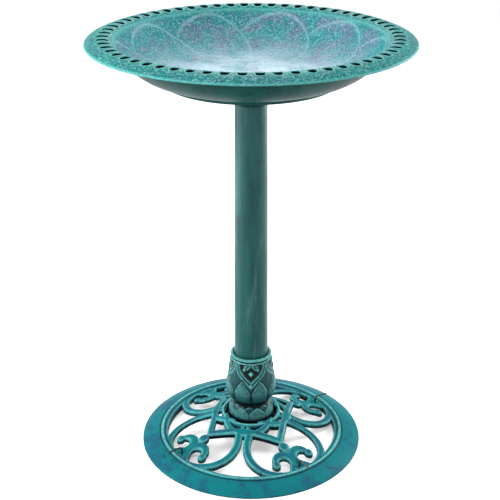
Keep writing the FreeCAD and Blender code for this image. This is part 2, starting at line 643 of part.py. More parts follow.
def make_bowl_socket_screws():
    """Pan-head screws, up through the flange into the bowl's bosses."""
    screws = []
    for index in range(int(number("screw_count"))):
        head = doc.addObject("Part::Cylinder", f"screw_head_{index}")
        bind(head, Radius="screw_head_radius", Height="screw_head", Placement__Base__z="-screw_head")
        shank = doc.addObject("Part::Cylinder", f"screw_shank_{index}")
        bind(shank, Radius="screw_radius", Height="screw_length")
        screw = doc.addObject("Part::Fuse", f"screw_{index}")
        screw.Base = head
        screw.Tool = shank
        across, up = polar("screw_circle", f"{index} * 360 / screw_count")
        bind(screw, Placement__Base__x=across, Placement__Base__y=up)
        screws.append(screw)
    group = doc.addObject("Part::Compound", "bowl_socket_screws")
    group.Links = screws
    bind(group, Placement__Base__z=f"{FLANGE_TOP} - flange_thickness")
    return group


def make_bowl():
    """A shallow basin with a domed, pierced rim, a foot ring and blind bosses underneath."""
    body = new_body("bowl")
    bind(body, Placement__Base__z=BOWL_LEVEL)
    crest = "(bowl_radius - rim_outer)"
    mouth = f"({crest} - rim_inner)"
    mouth_up = "(bowl_height - rim_step)"
    floor_up = "(foot_rise + bowl_wall)"
    wall_arc = tangent_radius(f"{mouth} - floor_flat", f"{mouth_up} - {floor_up}")
    outer_arc = f"({wall_arc} + bowl_wall)"
    under_x = f"({mouth} + mouth_offset)"
    under_up = f"({floor_up} + {wall_arc} - sqrt({outer_arc} ^ 2 - ({under_x} - floor_flat) ^ 2))"
    heel_x = "(foot_radius + heel_width)"
    heel_up = f"({floor_up} + {wall_arc} - sqrt({outer_arc} ^ 2 - ({heel_x} - floor_flat) ^ 2))"
    crest_under = "(bowl_height - bowl_wall)"
    turned(body, "shell", [
        (0, "foot_rise"), ("foot_radius - foot_width", "foot_rise"), ("foot_radius - foot_width", 0),
        ("foot_radius", 0), (heel_x, heel_up, outer_arc),
        (under_x, under_up, f"-{tangent_radius(f'{crest} - {under_x}', f'{crest_under} - {under_up}')}"),
        (crest, crest_under, f"-{tangent_radius('rim_outer', 'rim_drop')}"),
        ("bowl_radius", "bowl_height - rim_drop - bowl_wall"),
        ("bowl_radius", "bowl_height - rim_drop", tangent_radius("rim_outer", "rim_drop")),
        (crest, "bowl_height", tangent_radius("rim_inner", "rim_step")),
        (mouth, mouth_up, f"-{wall_arc}"), ("floor_flat", floor_up), (0, floor_up)])

    # blind bosses for the socket's screws
    for index in range(int(number("screw_count"))):
        across, up = polar("screw_circle", f"{index} * 360 / screw_count")
        circle = disc(body, f"boss_circle_{index}", across, up, "boss_radius")
        circle.setExpression("AttachmentOffset.Base.z", formula("foot_rise - boss_height"))
        padded(body, f"boss_{index}", circle, "boss_height + bowl_wall / 2")
        circle = disc(body, f"pilot_circle_{index}", across, up, "screw_radius - screw_bite")
        pocketed(body, f"pilot_{index}", circle, "foot_rise - boss_height",
                 "screw_length - flange_thickness + pilot_spare")

    # slots over the rim's crest, set half a pitch off the bowl's front
    straight, half = "(slot_length / 2 - slot_bow)", "(slot_width / 2)"
    end_arc = tangent_radius(half, "slot_bow")
    slot = [
        (f"{crest} - {straight}", f"-{half}"), (f"{crest} + {straight}", f"-{half}", end_arc),
        (f"{crest} + {straight}", half), (f"{crest} - {straight}", half, end_arc)]
    phase = "(90 + 180 / slot_count)"
    corners = [(*spun(c[:2], phase), *c[2:]) for c in slot]
    cutter = outline(body, "slot_outline", "XY_Plane", corners)
    first = pocketed(body, "slot", cutter, f"{mouth_up} - rim_drop - bowl_wall", "bowl_height")
    repeated(body, "slots", [first], "slot_count")
    return body


# ---------------------------------------------------------------- assembly
pieces = [
    make_base(), make_calyx_ring(), make_bud_socket(), make_base_bolt(), make_base_washer(),
    make_base_nut(), make_post(), make_post_cap(), make_post_foot_plug(), make_bowl_socket(),
    make_bowl_socket_screws(), make_bowl()]
pieces += [make_ground_peg(name, quarter) for name, quarter in PEG_QUARTERS.items()]
doc.recompute()

for thing in doc.Objects:
    if "Invalid" in thing.State or "Error" in thing.State:
        raise ValueError(f"{thing.Name} failed: {thing.State}")
for piece in pieces:
    if piece.Shape.isNull() or not piece.Shape.isValid():
        raise ValueError(f"{piece.Label} has no valid shape")

os.makedirs("parts", exist_ok=True)
for piece in pieces:
    piece.Shape.exportStep(os.path.join("parts", f"{piece.Label}.step"))
    box = piece.Shape.BoundBox
    print(f"{piece.Label:20s} solids {len(piece.Shape.Solids):2d}  volume {piece.Shape.Volume / 1000:8.1f} cm3"
          f"  z {box.ZMin:6.1f} to {box.ZMax:6.1f}  width {box.XLength:6.1f}")
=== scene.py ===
# %% [markdown]
# # A verdigris bird bath
#
# The CAD frame already holds every part at its real size: a pierced bowl on a tapered post, a lotus
# bud that holds the post, an openwork base, and the fasteners and wire pegs. This lesson dresses
# that frame. Each visible casting gets a new skin with its relief, and each finish is painted with
# nodes. Nothing here moves or resizes a CAD part.

# %% Load the frame
import json
import math

import bmesh
import bpy
import numpy as np
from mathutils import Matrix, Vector


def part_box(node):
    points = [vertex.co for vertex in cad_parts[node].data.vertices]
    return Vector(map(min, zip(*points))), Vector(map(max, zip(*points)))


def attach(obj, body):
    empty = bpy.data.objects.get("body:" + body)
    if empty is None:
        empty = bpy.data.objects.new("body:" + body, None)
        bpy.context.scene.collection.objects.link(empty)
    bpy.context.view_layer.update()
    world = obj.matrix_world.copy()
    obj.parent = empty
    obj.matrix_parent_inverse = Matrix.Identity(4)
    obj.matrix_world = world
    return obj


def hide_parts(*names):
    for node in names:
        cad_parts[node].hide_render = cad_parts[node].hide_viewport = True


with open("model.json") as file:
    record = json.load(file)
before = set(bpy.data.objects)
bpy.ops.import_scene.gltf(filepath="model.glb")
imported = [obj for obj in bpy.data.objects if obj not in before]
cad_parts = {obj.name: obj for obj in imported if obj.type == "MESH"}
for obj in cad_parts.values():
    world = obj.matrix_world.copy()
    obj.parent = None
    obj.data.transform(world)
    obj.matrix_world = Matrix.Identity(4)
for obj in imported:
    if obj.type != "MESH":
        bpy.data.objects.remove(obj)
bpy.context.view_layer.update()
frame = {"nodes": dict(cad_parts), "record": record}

# %% [markdown]
# ## Working in millimetres
#
# The drawings of the castings are in millimetres, so the shapes below are too. One number turns
# them into Blender's metres when a piece is made. The main levels and radii are read from the frame,
# so the skins follow the CAD parts.

# %% Levels
MM = 0.001


def level(node, top=True):
    """Height of a CAD node's top or bottom, in millimetres."""
    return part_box(node)[1 if top else 0].z / MM


def reach(node):
    """Largest radius of a round CAD node, in millimetres."""
    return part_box(node)[1].x / MM


CREST_LEVEL = level("bowl")
BOWL_RADIUS = reach("bowl")
BASE_RADIUS = reach("base")
HUB_TOP = level("base")
CALYX_FOOT = level("calyx_ring", top=False)
CALYX_TOP = level("calyx_ring")
BUD_TOP = level("bud_socket")
POST_FOOT = level("post", top=False)
POST_TOP = level("post")
print(f"crest {CREST_LEVEL:.1f}, bud top {BUD_TOP:.1f}, hub {HUB_TOP:.1f} mm")

# %% [markdown]
# ## Turning arrays of points into pieces
#
# Castings with fine relief need tens of thousands of points. Numpy works them all out at once, which
# is far quicker than moving vertices one by one in Python. A `Blank` collects points, faces and
# paint masks, and is turned into a mesh at the end. Points that lie on each other are welded, and
# the normals are made to point outwards.


# %% Blanks
class Blank:
    """Points in millimetres, faces, and paint masks of a casting that is being shaped."""

    def __init__(self):
        self.points = []
        self.faces = []
        self.masks = {}
        self.count = 0

    def add(self, points, faces, **masks):
        """Add a patch. A mask is one number for each of its points."""
        points = np.asarray(points, float).reshape(-1, 3)
        for name in set(self.masks) | set(masks):
            stretches = self.masks.setdefault(name, [np.zeros(self.count)])
            stretches.append(np.asarray(masks.get(name, np.zeros(len(points))), float).reshape(-1))
        self.points.append(points)
        self.faces += [[corner + self.count for corner in face] for face in np.asarray(faces).tolist()]
        self.count += len(points)

    def cast(self, name, weld=0.02):
        """The finished object, welded and smooth, with a print of how many open edges it has."""
        mesh = bpy.data.meshes.new(name)
        mesh.from_pydata((np.concatenate(self.points) * MM).tolist(), [], self.faces)
        for mask, stretches in self.masks.items():
            layer = mesh.attributes.new(mask, "FLOAT", "POINT")
            layer.data.foreach_set("value", np.concatenate(stretches).astype(np.float32))
        work = bmesh.new()
        work.from_mesh(mesh)
        bmesh.ops.remove_doubles(work, verts=work.verts, dist=weld * MM)
        bmesh.ops.recalc_face_normals(work, faces=work.faces)
        work.to_mesh(mesh)
        work.free()
        mesh.shade_smooth()
        piece = bpy.data.objects.new(name, mesh)
        bpy.context.scene.collection.objects.link(piece)
        loose = open_edges(mesh)
        print(f"{name}: {len(mesh.vertices)} points, {len(mesh.polygons)} faces, {loose} open edges")
        return piece


def open_edges(mesh):
    """How many edges have only one face, which a closed casting has none of."""
    ends = np.zeros(len(mesh.loops), int)
    mesh.loops.foreach_get("edge_index", ends)
    return int((np.bincount(ends) == 1).sum())


def grid_faces(rows, columns):
    """Quads between the points of a grid that is numbered row by row."""
    row, column = np.meshgrid(np.arange(rows - 1), np.arange(columns), indexing="ij")
    after = (column + 1) % columns
    first, second = row * columns, (row + 1) * columns
    return np.stack([first + column, first + after, second + after, second + column], -1).reshape(-1, 4)


# %% [markdown]
# ## Turned shapes
#
# Ring, hub, post and bowl are all round, so each starts as a profile of radius and height that is
# turned about the post's axis. Round stretches of a profile are arcs, given by a centre and two ends.


# %% Profiles
def arc(centre, start, end, count):
    """Points on a circle round a centre, from start to end the short way."""
    first = math.atan2(start[1] - centre[1], start[0] - centre[0])
    sweep = math.atan2(end[1] - centre[1], end[0] - centre[0]) - first
    sweep = (sweep + math.pi) % (2 * math.pi) - math.pi
    angles = first + sweep * np.linspace(0, 1, count)
    radius = math.dist(centre, start)
    return np.stack([centre[0] + radius * np.cos(angles), centre[1] + radius * np.sin(angles)], 1)


def straight(start, end, count):
    """Evenly spaced points on a straight stretch of a profile."""
    return np.linspace(start, end, count)


def profile(*stretches):
    """One profile from its stretches, with no point twice in a row."""
    points = np.concatenate([np.atleast_2d(np.asarray(stretch, float)) for stretch in stretches])
    keep = np.r_[True, np.linalg.norm(np.diff(points, axis=0), axis=1) > 1e-6]
    return points[keep]


def turned(line, columns, phase=0.0):
    """A profile of (radius, height) turned about the axis, as a rows by columns array of points."""
    angles = math.radians(phase) + np.arange(columns) * 2 * math.pi / columns
    radius, height = line[:, :1], line[:, 1:]
    return np.stack([radius * np.cos(angles), radius * np.sin(angles),
                     np.repeat(height, columns, 1)], -1)


def turned_faces(rows, columns, closed=False):
    """Faces of a turned shape; a closed profile's last row joins its first."""
    faces = grid_faces(rows, columns)
    if closed:
        last = (rows - 1) * columns
        column = np.arange(columns)
        after = (column + 1) % columns
        faces = np.concatenate([faces, np.stack([last + column, last + after, after, column], -1)])
    return faces


# %% [markdown]
# ## Lines drawn on a surface
#
# Petal outlines are smooth lines through a few chosen points. A Catmull-Rom curve passes through
# every one of them. Relief then depends on how far a point of the casting is from the nearest line.


# %% Smooth lines and distances
def smooth_line(spots, steps=8):
    """A Catmull-Rom curve through the spots."""
    spots = np.asarray(spots, float)
    guides = np.concatenate([2 * spots[:1] - spots[1:2], spots, 2 * spots[-1:] - spots[-2:-1]])
    t = np.linspace(0, 1, steps, endpoint=False)[:, None]
    runs = []
    for a, b, c, d in zip(guides, guides[1:], guides[2:], guides[3:]):
        runs.append(0.5 * (2 * b + (c - a) * t + (2 * a - 5 * b + 4 * c - d) * t ** 2
                           + (3 * b - a - 3 * c + d) * t ** 3))
    return np.concatenate(runs + [spots[-1:]])


def line_distance(spots, line):
    """Distance of each spot to a line of short segments."""
    nearest = np.full(len(spots), np.inf)
    for start, end in zip(line, line[1:]):
        along = end - start
        share = np.clip(((spots - start) @ along) / (along @ along), 0, 1)
        nearest = np.minimum(nearest, np.hypot(*(spots - start - share[:, None] * along).T))
    return nearest


def swell(distance, width):
    """A soft ridge: 1 on a line, falling to nothing a little beyond its width."""
    return np.exp(-(distance / width) ** 2)


def rise(value, low, high):
    """A smooth step from 0 at low to 1 at high."""
    t = np.clip((value - low) / (high - low), 0, 1)
    return t * t * (3 - 2 * t)


# %% [markdown]
# ## Painting with expressions
#
# A finish is a tree of nodes, but its maths reads better as an expression. `Value` wraps one output
# socket: `1 - mask * 0.5` on it adds the two Math nodes and their links. Every other node comes from
# `Finish.node`, which takes the node's type, its settings and what goes into its sockets.


# %% Values and finishes
class Value:
    """One output socket of a finish. Arithmetic on it adds Math nodes."""

    def __init__(self, finish, socket):
        self.finish = finish
        self.socket = socket

    def maths(self, operation, first, second=0.0):
        return self.finish.node("ShaderNodeMath", {"operation": operation}, {0: first, 1: second})

    def __add__(self, other):
        return self.maths("ADD", self, other)

    def __radd__(self, other):
        return self.maths("ADD", other, self)

    def __sub__(self, other):
        return self.maths("SUBTRACT", self, other)

    def __rsub__(self, other):
        return self.maths("SUBTRACT", other, self)

    def __mul__(self, other):
        return self.maths("MULTIPLY", self, other)

    def __rmul__(self, other):
        return self.maths("MULTIPLY", other, self)

    def step(self, low, high):
        """A smooth step from 0 at low to 1 at high."""
        return self.finish.node("ShaderNodeMapRange", {"interpolation_type": "SMOOTHSTEP"},
                                {"Value": self, "From Min": low, "From Max": high})


class Finish:
    """A material, one Principled shader, and the nodes that feed it."""

    def __init__(self, name, **sockets):
        self.material = bpy.data.materials.new(name)
        self.material.use_nodes = True
        self.tree = self.material.node_tree
        self.tree.nodes.clear()
        self.shader = self.tree.nodes.new("ShaderNodeBsdfPrincipled")
        output = self.tree.nodes.new("ShaderNodeOutputMaterial")
        self.tree.links.new(self.shader.outputs["BSDF"], output.inputs["Surface"])
        self.feed(self.shader, sockets)

    def feed(self, node, sockets):
        """Set or link a node's inputs."""
        for name, value in sockets.items():
            if isinstance(value, Value):
                self.tree.links.new(value.socket, node.inputs[name])
            else:
                node.inputs[name].default_value = value

    def node(self, kind, settings=None, sockets=None, out=0):
        """Add a node: its settings first, then what goes into its sockets."""
        node = self.tree.nodes.new(kind)
        for name, value in (settings or {}).items():
            setattr(node, name, value)
        self.feed(node, sockets or {})
        return Value(self, node.outputs[out])

    def paint(self, **sockets):
        """Feed the shader, with a space in a socket's name written as an underscore."""
        self.feed(self.shader, {name.replace("_", " "): value for name, value in sockets.items()})
        return self.material

    def place(self):
        """Where a point is on its piece, in metres."""
        return self.node("ShaderNodeTexCoord", out="Object")

    def stretched(self, place, scale):
        """The same place, squeezed or stretched along each axis."""
        return self.node("ShaderNodeVectorMath", {"operation": "MULTIPLY"}, {0: place, 1: scale},
                         out="Vector")

    def cloud(self, place, size_mm, detail=3.0, roughness=0.5, distortion=0.0):
        """Soft noise whose blotches are about a size in millimetres."""
        return self.node("ShaderNodeTexNoise", {"noise_dimensions": "3D"},
                         {"Vector": place, "Scale": 1000.0 / size_mm, "Detail": detail,
                          "Roughness": roughness, "Distortion": distortion})

    def mask(self, name):
        """A paint mask that the mesh carries."""
        return self.node("ShaderNodeAttribute", {"attribute_name": name}, out="Fac")

    def mix(self, share, first, second):
        """A mix of two colours."""
        return self.node("ShaderNodeMix", {"data_type": "RGBA", "blend_type": "MIX"},
                         {0: share, 6: first, 7: second}, out=2)

    def bump(self, height, strength, depth_mm):
        """A normal that follows fine relief too small for the mesh."""
        return self.node("ShaderNodeBump", None, {"Height": height, "Strength": strength,
                                                  "Distance": depth_mm * MM})


def tint(red, green, blue):
    """A paint colour from its usual 0 to 255 numbers, made linear for the shader."""
    parts = [part / 255 for part in (red, green, blue)]
    linear = [part / 12.92 if part <= 0.04045 else ((part + 0.055) / 1.055) ** 2.4 for part in parts]
    return (*linear, 1.0)


print("teal in linear light:", [round(part, 3) for part in tint(70, 150, 150)])

# %% [markdown]
# ## The bowl's section
#
# The bowl is one thin moulding: a flat floor, a wall on one large arc, and a domed rim with a crest.
# Its underside runs parallel to it, down to a foot ring. The rim's height is a function of the
# radius, because the slots are cut into it and every point round them needs its height.

# %% Bowl section
BOWL_FOOT = CREST_LEVEL - 70.0
WALL = 3.0
CREST = BOWL_RADIUS - 28.0
MOUTH = (CREST - 16.0, 64.5)
FLOOR = (122.0, 7.0)
WALL_CENTRE = (122.0, 98.576)
CREST_IN, CREST_OUT = (43.98, 26.02), (13.98, 56.02)
INNER_EASE = 0.01
SLOT_IN, SLOT_OUT = 210.0, 237.0
SLOTS, COLUMNS_PER_SLOT = 60, 10
BOWL_COLUMNS = SLOTS * COLUMNS_PER_SLOT
FIRST_COLUMN = 90.0


def dome(radius, thickness=0.0):
    """Height of the rim's dome over the bowl's foot, or of its underside a thickness below."""
    radius = np.asarray(radius, float)
    centre_in, arc_in = CREST_IN
    centre_out, arc_out = CREST_OUT
    inner = arc_in + thickness * INNER_EASE
    inside = centre_in + np.sqrt(np.maximum(inner ** 2 - (radius - CREST) ** 2, 0))
    outside = centre_out + np.sqrt((arc_out - thickness) ** 2 - (radius - CREST) ** 2)
    return np.where(radius < CREST, inside - thickness, outside)


FLOOR_LINE = straight((4.0, FLOOR[1]), (60.0, FLOOR[1]), 9)
FLOOR_RUN = straight((60.0, FLOOR[1]), FLOOR, 28)
WALL_RUN = arc(WALL_CENTRE, FLOOR, MOUTH, 41)
LIP_RUN = [(radius, float(dome(radius))) for radius in (208.4, SLOT_IN)]
BASIN_LINE = profile(FLOOR_LINE, FLOOR_RUN, WALL_RUN, LIP_RUN)
print(f"basin profile: {len(BASIN_LINE)} points, crest at radius {CREST:.0f} mm")

# %% [markdown]
# ## Petals drawn in the basin
#
# Ten long lotus petals overlap round the basin, each lying on its neighbour's edge. On the real
# bowl they are thin raised lines. One outline, as radius and angle from the petal's middle, is
# repeated ten times. It leaves the neighbour at a notch, rounds the tip near the rim, and runs back
# down towards the middle of the floor.

# %% Petal outline
PETALS = 10
FIRST_PETAL = 4.0
PETAL_OUTLINE = [(187, 18.0), (195, 14.5), (201, 9.0), (204, 3.0), (204.3, -3.0), (201, -8.0),
                 (193, -13.0), (178, -17.8), (160, -20.6), (140, -22.0), (115, -22.6), (90, -23.6),
                 (68, -25.6), (48, -30.0)]


def petal_lines():
    """The outlines of all the petals, in plan."""
    lines = []
    for petal in range(PETALS):
        middle = FIRST_PETAL + petal * 360 / PETALS
        angles = np.radians([middle + offset for _, offset in PETAL_OUTLINE])
        radii = np.array([radius for radius, _ in PETAL_OUTLINE], float)
        lines.append(smooth_line(np.stack([radii * np.cos(angles), radii * np.sin(angles)], 1), 5))
    return lines


def petal_relief(points):
    """How close points of the basin are to a petal's raised edge, and how high the petal lies."""
    plan = points[..., :2].reshape(-1, 2)
    nearest = np.full(len(plan), np.inf)
    for line in petal_lines():
        nearest = np.minimum(nearest, line_distance(plan, line))
    radius = np.hypot(plan[:, 0], plan[:, 1])
    fade = rise(radius, 48, 85) * (1 - rise(radius, 205, 209))
    return swell(nearest, 1.1) * fade, swell(nearest, 4.5) * fade


print(f"{PETALS} petals, one every {360 / PETALS:.0f} degrees")

# %% [markdown]
# ## Slots through the rim
#
# Sixty slots pierce the rim. A boolean would leave ragged triangles along such a fine grid, so each
# six-degree sector is a small patch instead: a frame that matches its neighbours, and rings that
# close in on the slot, rise to its lip, and turn down into a short collar below the rim. The lip
# carries a painted highlight, and the collar is painted near-black inside as painted shade in the
# slot. Each ring is given by its gap outside the slot's edge, its rise over the top or drop below the
# underside, and which of the two it follows.

# %% Slot patch
SLOT_RADIUS, SLOT_HALF = CREST, (6.5, 10.0)
SLOT_SHAPE = 2.7
SIDE_STEPS = 8
SLOT_RINGS = [(2.8, 0.0, "top"), (1.5, 0.55, "top"), (0.6, 0.5, "top"), (0.0, -0.35, "top"),
              (0.0, -1.2, "top"), (0.2, -8.8, "top"), (1.3, 5.6, "under"), (1.5, 0.3, "under"),
              (2.8, 0.0, "under")]
FIRST_DARK, FIRST_UNDER = 5, 7


def patch_frame():
    """The sector's outline as shares of its half sizes, round from one corner."""
    across = np.linspace(-1, 1, COLUMNS_PER_SLOT + 1)[:-1]
    along = np.linspace(-1, 1, SIDE_STEPS + 1)[:-1]
    low, right = [(p, -1) for p in across], [(1, q) for q in along]
    return np.array(low + right + [(-p, 1) for p in across] + [(-1, -q) for q in along])


def slot_patch(middle):
    """Points of one sector, from its top frame through the slot to its under frame, and a mask for a painted
    highlight on its raised lip.
    """
    frame_shape = patch_frame()
    half_angle = math.pi / SLOTS
    half_run, mid_run = (SLOT_OUT - SLOT_IN) / 2, (SLOT_OUT + SLOT_IN) / 2
    frame_radius = mid_run + frame_shape[:, 1] * half_run
    frame_angle = middle + frame_shape[:, 0] * half_angle
    stretch = (np.abs(frame_shape) ** SLOT_SHAPE).sum(1) ** (-1 / SLOT_SHAPE)
    rings, lip_highlights = [], []

    def ring(radius, angle, height, lip):
        rings.append(np.stack([radius * np.cos(angle), radius * np.sin(angle), height], 1))
        lip_highlights.append(np.full(len(radius), lip))

    ring(frame_radius, frame_angle, dome(frame_radius), 0.0)
    for gap, lift, side in SLOT_RINGS:
        radius = SLOT_RADIUS + frame_shape[:, 1] * stretch * (SLOT_HALF[1] + gap)
        angle = middle + frame_shape[:, 0] * stretch * (SLOT_HALF[0] + gap) / radius
        height = dome(radius, 0.0 if side == "top" else WALL)
        ring(radius, angle, height + (lift if side == "top" else -lift), 1.0 if lift > 0.4 else 0.0)
    ring(frame_radius, frame_angle, dome(frame_radius, WALL), 0.0)
    return np.stack(rings), np.concatenate(lip_highlights)


print(f"{len(SLOT_RINGS) + 2} rings of {len(patch_frame())} points round each slot")

# %% [markdown]
# ## Assembling the bowl
#
# Basin, slot patches, outer rim, edge, underside and foot ring meet point for point, so welding
# joins them into one closed skin. The bosses for the socket's screws are small turned solids that
# run up into the underside.

# %% Bowl
EDGE_RADII = [SLOT_OUT, 239.5, 242.0, 244.5, 247.0, 249.3]
HEEL, UNDER_TURN = (138.5, 5.45), (209.79, 63.40)
FOOT_LINE = [(137.2, 0.7), (136.6, 0.1), (136.0, 0.0), (132.0, 0.0), (131.3, 0.2), (131.0, 0.8),
             (131.0, 3.4), (130.2, 4.0), (110.0, 4.0), (80.0, 4.0), (45.0, 4.0), (4.0, 4.0)]
SCREW_CIRCLE, SCREWS = 38.0, 4
BOSS_LINE = [(0.001, 4.6), (4.6, 4.6), (5.0, 3.8), (5.0, -3.5), (4.5, -4.0), (1.9, -4.0), (1.55, -3.6),
             (1.55, 2.4), (0.001, 2.4)]


def make_bowl():
    """The bowl's skin, with petal lines in the basin and a lip round every slot."""
    blank = Blank()
    basin = turned(BASIN_LINE, BOWL_COLUMNS, FIRST_COLUMN)
    ridge, cushion = petal_relief(basin)
    basin[..., 2] += (0.7 * ridge + 0.3 * cushion).reshape(basin.shape[:2])
    radius = np.hypot(basin[..., 0], basin[..., 1]).reshape(-1)
    faces = grid_faces(len(BASIN_LINE), BOWL_COLUMNS)
    # The petal and lip masks carry painted highlights: a lighter colour on the petal lines and on the rim's
    # inner edge.
    blank.add(basin, faces, petal=ridge, basin=1 - rise(radius, 203, 209), lip=swell(radius - 207.3, 1.6))
    hub = turned(np.array([BASIN_LINE[0]]), BOWL_COLUMNS, FIRST_COLUMN)[0]
    blank.add(np.concatenate([hub, [[0, 0, FLOOR[1]]]]),
              [[i, (i + 1) % BOWL_COLUMNS, BOWL_COLUMNS] for i in range(BOWL_COLUMNS)],
              basin=np.ones(BOWL_COLUMNS + 1))

    loop = len(patch_frame())
    for slot in range(SLOTS):
        middle = math.radians(FIRST_COLUMN + (slot + 0.5) * 360 / SLOTS)
        rings, lip_highlights = slot_patch(middle)
        order = np.repeat(np.arange(len(rings)), loop)
        # The collar rings carry the deep mask: painted shade inside the slot.
        blank.add(rings, grid_faces(len(rings), loop), lip=lip_highlights, under=(order >= FIRST_UNDER) * 1.0,
                  deep=((order >= FIRST_DARK) & (order <= FIRST_UNDER)) * 1.0)

    rim = [(radius, float(dome(radius))) for radius in EDGE_RADII]
    edge = [(250.5, 62.5), (251.0, 61.6), (251.0, 60.4), (250.4, 59.7)]
    back = [(radius, float(dome(radius, WALL))) for radius in (247.5, 244.0, 240.5, SLOT_OUT)]
    lower = profile([(SLOT_IN, float(dome(SLOT_IN, WALL)))], arc(WALL_CENTRE, UNDER_TURN, HEEL, 20),
                    FOOT_LINE)
    outer = profile(rim, edge, back)
    outer_under = (np.arange(len(outer)) > len(rim) + 2).astype(float)
    # Painted highlight along the outer edge of the rim.
    outer_lip_highlight = swell(outer[:, 0] - 250.6, 0.9) * (1 - outer_under)
    blank.add(turned(outer, BOWL_COLUMNS, FIRST_COLUMN), grid_faces(len(outer), BOWL_COLUMNS),
              under=np.repeat(outer_under, BOWL_COLUMNS), lip=np.repeat(outer_lip_highlight, BOWL_COLUMNS))
    blank.add(turned(lower, BOWL_COLUMNS, FIRST_COLUMN), grid_faces(len(lower), BOWL_COLUMNS),
              under=np.ones(len(lower) * BOWL_COLUMNS))
    last = turned(lower[-1:], BOWL_COLUMNS, FIRST_COLUMN)[0]
    blank.add(np.concatenate([last, [[0, 0, lower[-1, 1]]]]),
              [[i, (i + 1) % BOWL_COLUMNS, BOWL_COLUMNS] for i in range(BOWL_COLUMNS)],
              under=np.ones(BOWL_COLUMNS + 1))

    sides = 24
    for screw in range(SCREWS):
        angle = screw * 2 * math.pi / SCREWS
        boss = turned(np.array(BOSS_LINE), sides)
        boss += (SCREW_CIRCLE * math.cos(angle), SCREW_CIRCLE * math.sin(angle), 0)
        blank.add(boss, turned_faces(len(BOSS_LINE), sides), under=np.ones(len(BOSS_LINE) * sides))
    for points in blank.points:
        points[:, 2] += BOWL_FOOT
    return blank.cast("bowl_skin")


bowl = make_bowl()

# %% [markdown]
# ## The openwork as a distance field
#
# The base is a shallow cone of scrolls between a hub and a ring. Drawn from above, each scroll is a
# simple flat shape: an arc of a given width, a straight bar, a disc. A signed distance says how far
# a point lies inside such a shape, which is all that is needed: the outline is where it is nought,
# and the crown of a bar rises with the distance from its edge. Where bars cross, the higher one
# shows, so the crossings look forged without any boolean.

# %% Flat shapes
def facing(points, degrees):
    """Points turned back by an angle, so that a shape can be drawn along the X axis."""
    angle = math.radians(degrees)
    across, up = points[:, 0], points[:, 1]
    return np.stack([across * math.cos(angle) + up * math.sin(angle),
                     up * math.cos(angle) - across * math.sin(angle)], 1)


def disc_depth(points, centre, radius):
    """How deep points lie inside a disc."""
    return radius - np.hypot(points[:, 0] - centre[0], points[:, 1] - centre[1])


def bar_depth(points, start, end, width, end_width=None):
    """How deep points lie inside a straight bar with round ends, which may widen."""
    start, end = np.array(start, float), np.array(end, float)
    along = end - start
    share = np.clip(((points - start) @ along) / (along @ along), 0, 1)
    away = np.hypot(*(points - start - share[:, None] * along).T)
    return (width + ((end_width or width) - width) * share) / 2 - away


def arc_depth(points, centre, radius, start, end, width, swollen=0.0):
    """How deep points lie inside a curved bar with round ends. It may swell towards its middle."""
    offset = points - np.array(centre, float)
    middle, half = math.radians((start + end) / 2), math.radians(abs(end - start) / 2)
    angle = np.arctan2(offset[:, 1], offset[:, 0]) - middle
    angle = (angle + math.pi) % (2 * math.pi) - math.pi
    held = np.clip(angle, -half, half)
    spine = radius + swollen / 2 * (1 - (held / half) ** 2)
    nearest = np.array(centre) + (spine * np.array([np.cos(held + middle), np.sin(held + middle)])).T
    breadth = width + swollen * (1 - (held / half) ** 2)
    return breadth / 2 - np.hypot(*(points - nearest).T)


def mirrored(points):
    """Points with their other coordinate turned over, to draw a shape's twin."""
    return points * (1, -1)


# %% [markdown]
# ## The pattern of the base
#
# Every quarter holds the same six things: two split bars that bow out to the ring, one side of a
# square strap, a lobe and a double bracket under the hub, and a fleur with two curled horns. Each
# gets its own crown and its own lift above the cone, so that straps lie over lobes.

# %% Openwork pattern
PATTERN_TURN = -10.5
OPEN_EDGE = BASE_RADIUS - 44.0
RING_TOP = 14.0
RING_OVERLAP = 4.0
HUB_RADIUS = 48.5
BAR_THICKNESS = 9.0
CONE_SAG = 3.5
SPLIT_BAR = dict(centre=(78.2, 61.1), radius=53.2, start=-100, end=34, width=13.0)
STRAP_REACH, STRAP_WIDTH = 60.6, 11.5
LOBE = dict(centre=(28.5, 0.0), radius=37.0, start=-100, end=100, width=10.0)
BRACKET = dict(start=(46.0, 4.7), end=(61.0, 4.7), width=7.0)
HORN = dict(centre=(126.4, 18.9), radius=13.6, start=102, end=320, width=8.4, swollen=7.0)
HORN_TIP = ((123.4, 33.4), 7.4)
ROOT = dict(start=(136.5, 6.5), end=(149.0, 17.5), width=13.0)
KNOB = ((98.5, 0.0), 9.5)
FLEUR_WEB = dict(start=(112.0, 0.0), end=(149.0, 0.0), width=9.0, end_width=26.0)


def cone(points):
    """Height of the openwork's surface before its crowns."""
    radius = np.clip(np.hypot(points[:, 0], points[:, 1]), HUB_RADIUS, OPEN_EDGE + RING_OVERLAP)
    share = (radius - HUB_RADIUS) / (OPEN_EDGE + RING_OVERLAP - HUB_RADIUS)
    return HUB_TOP + (RING_TOP - HUB_TOP) * share - CONE_SAG * 4 * share * (1 - share)


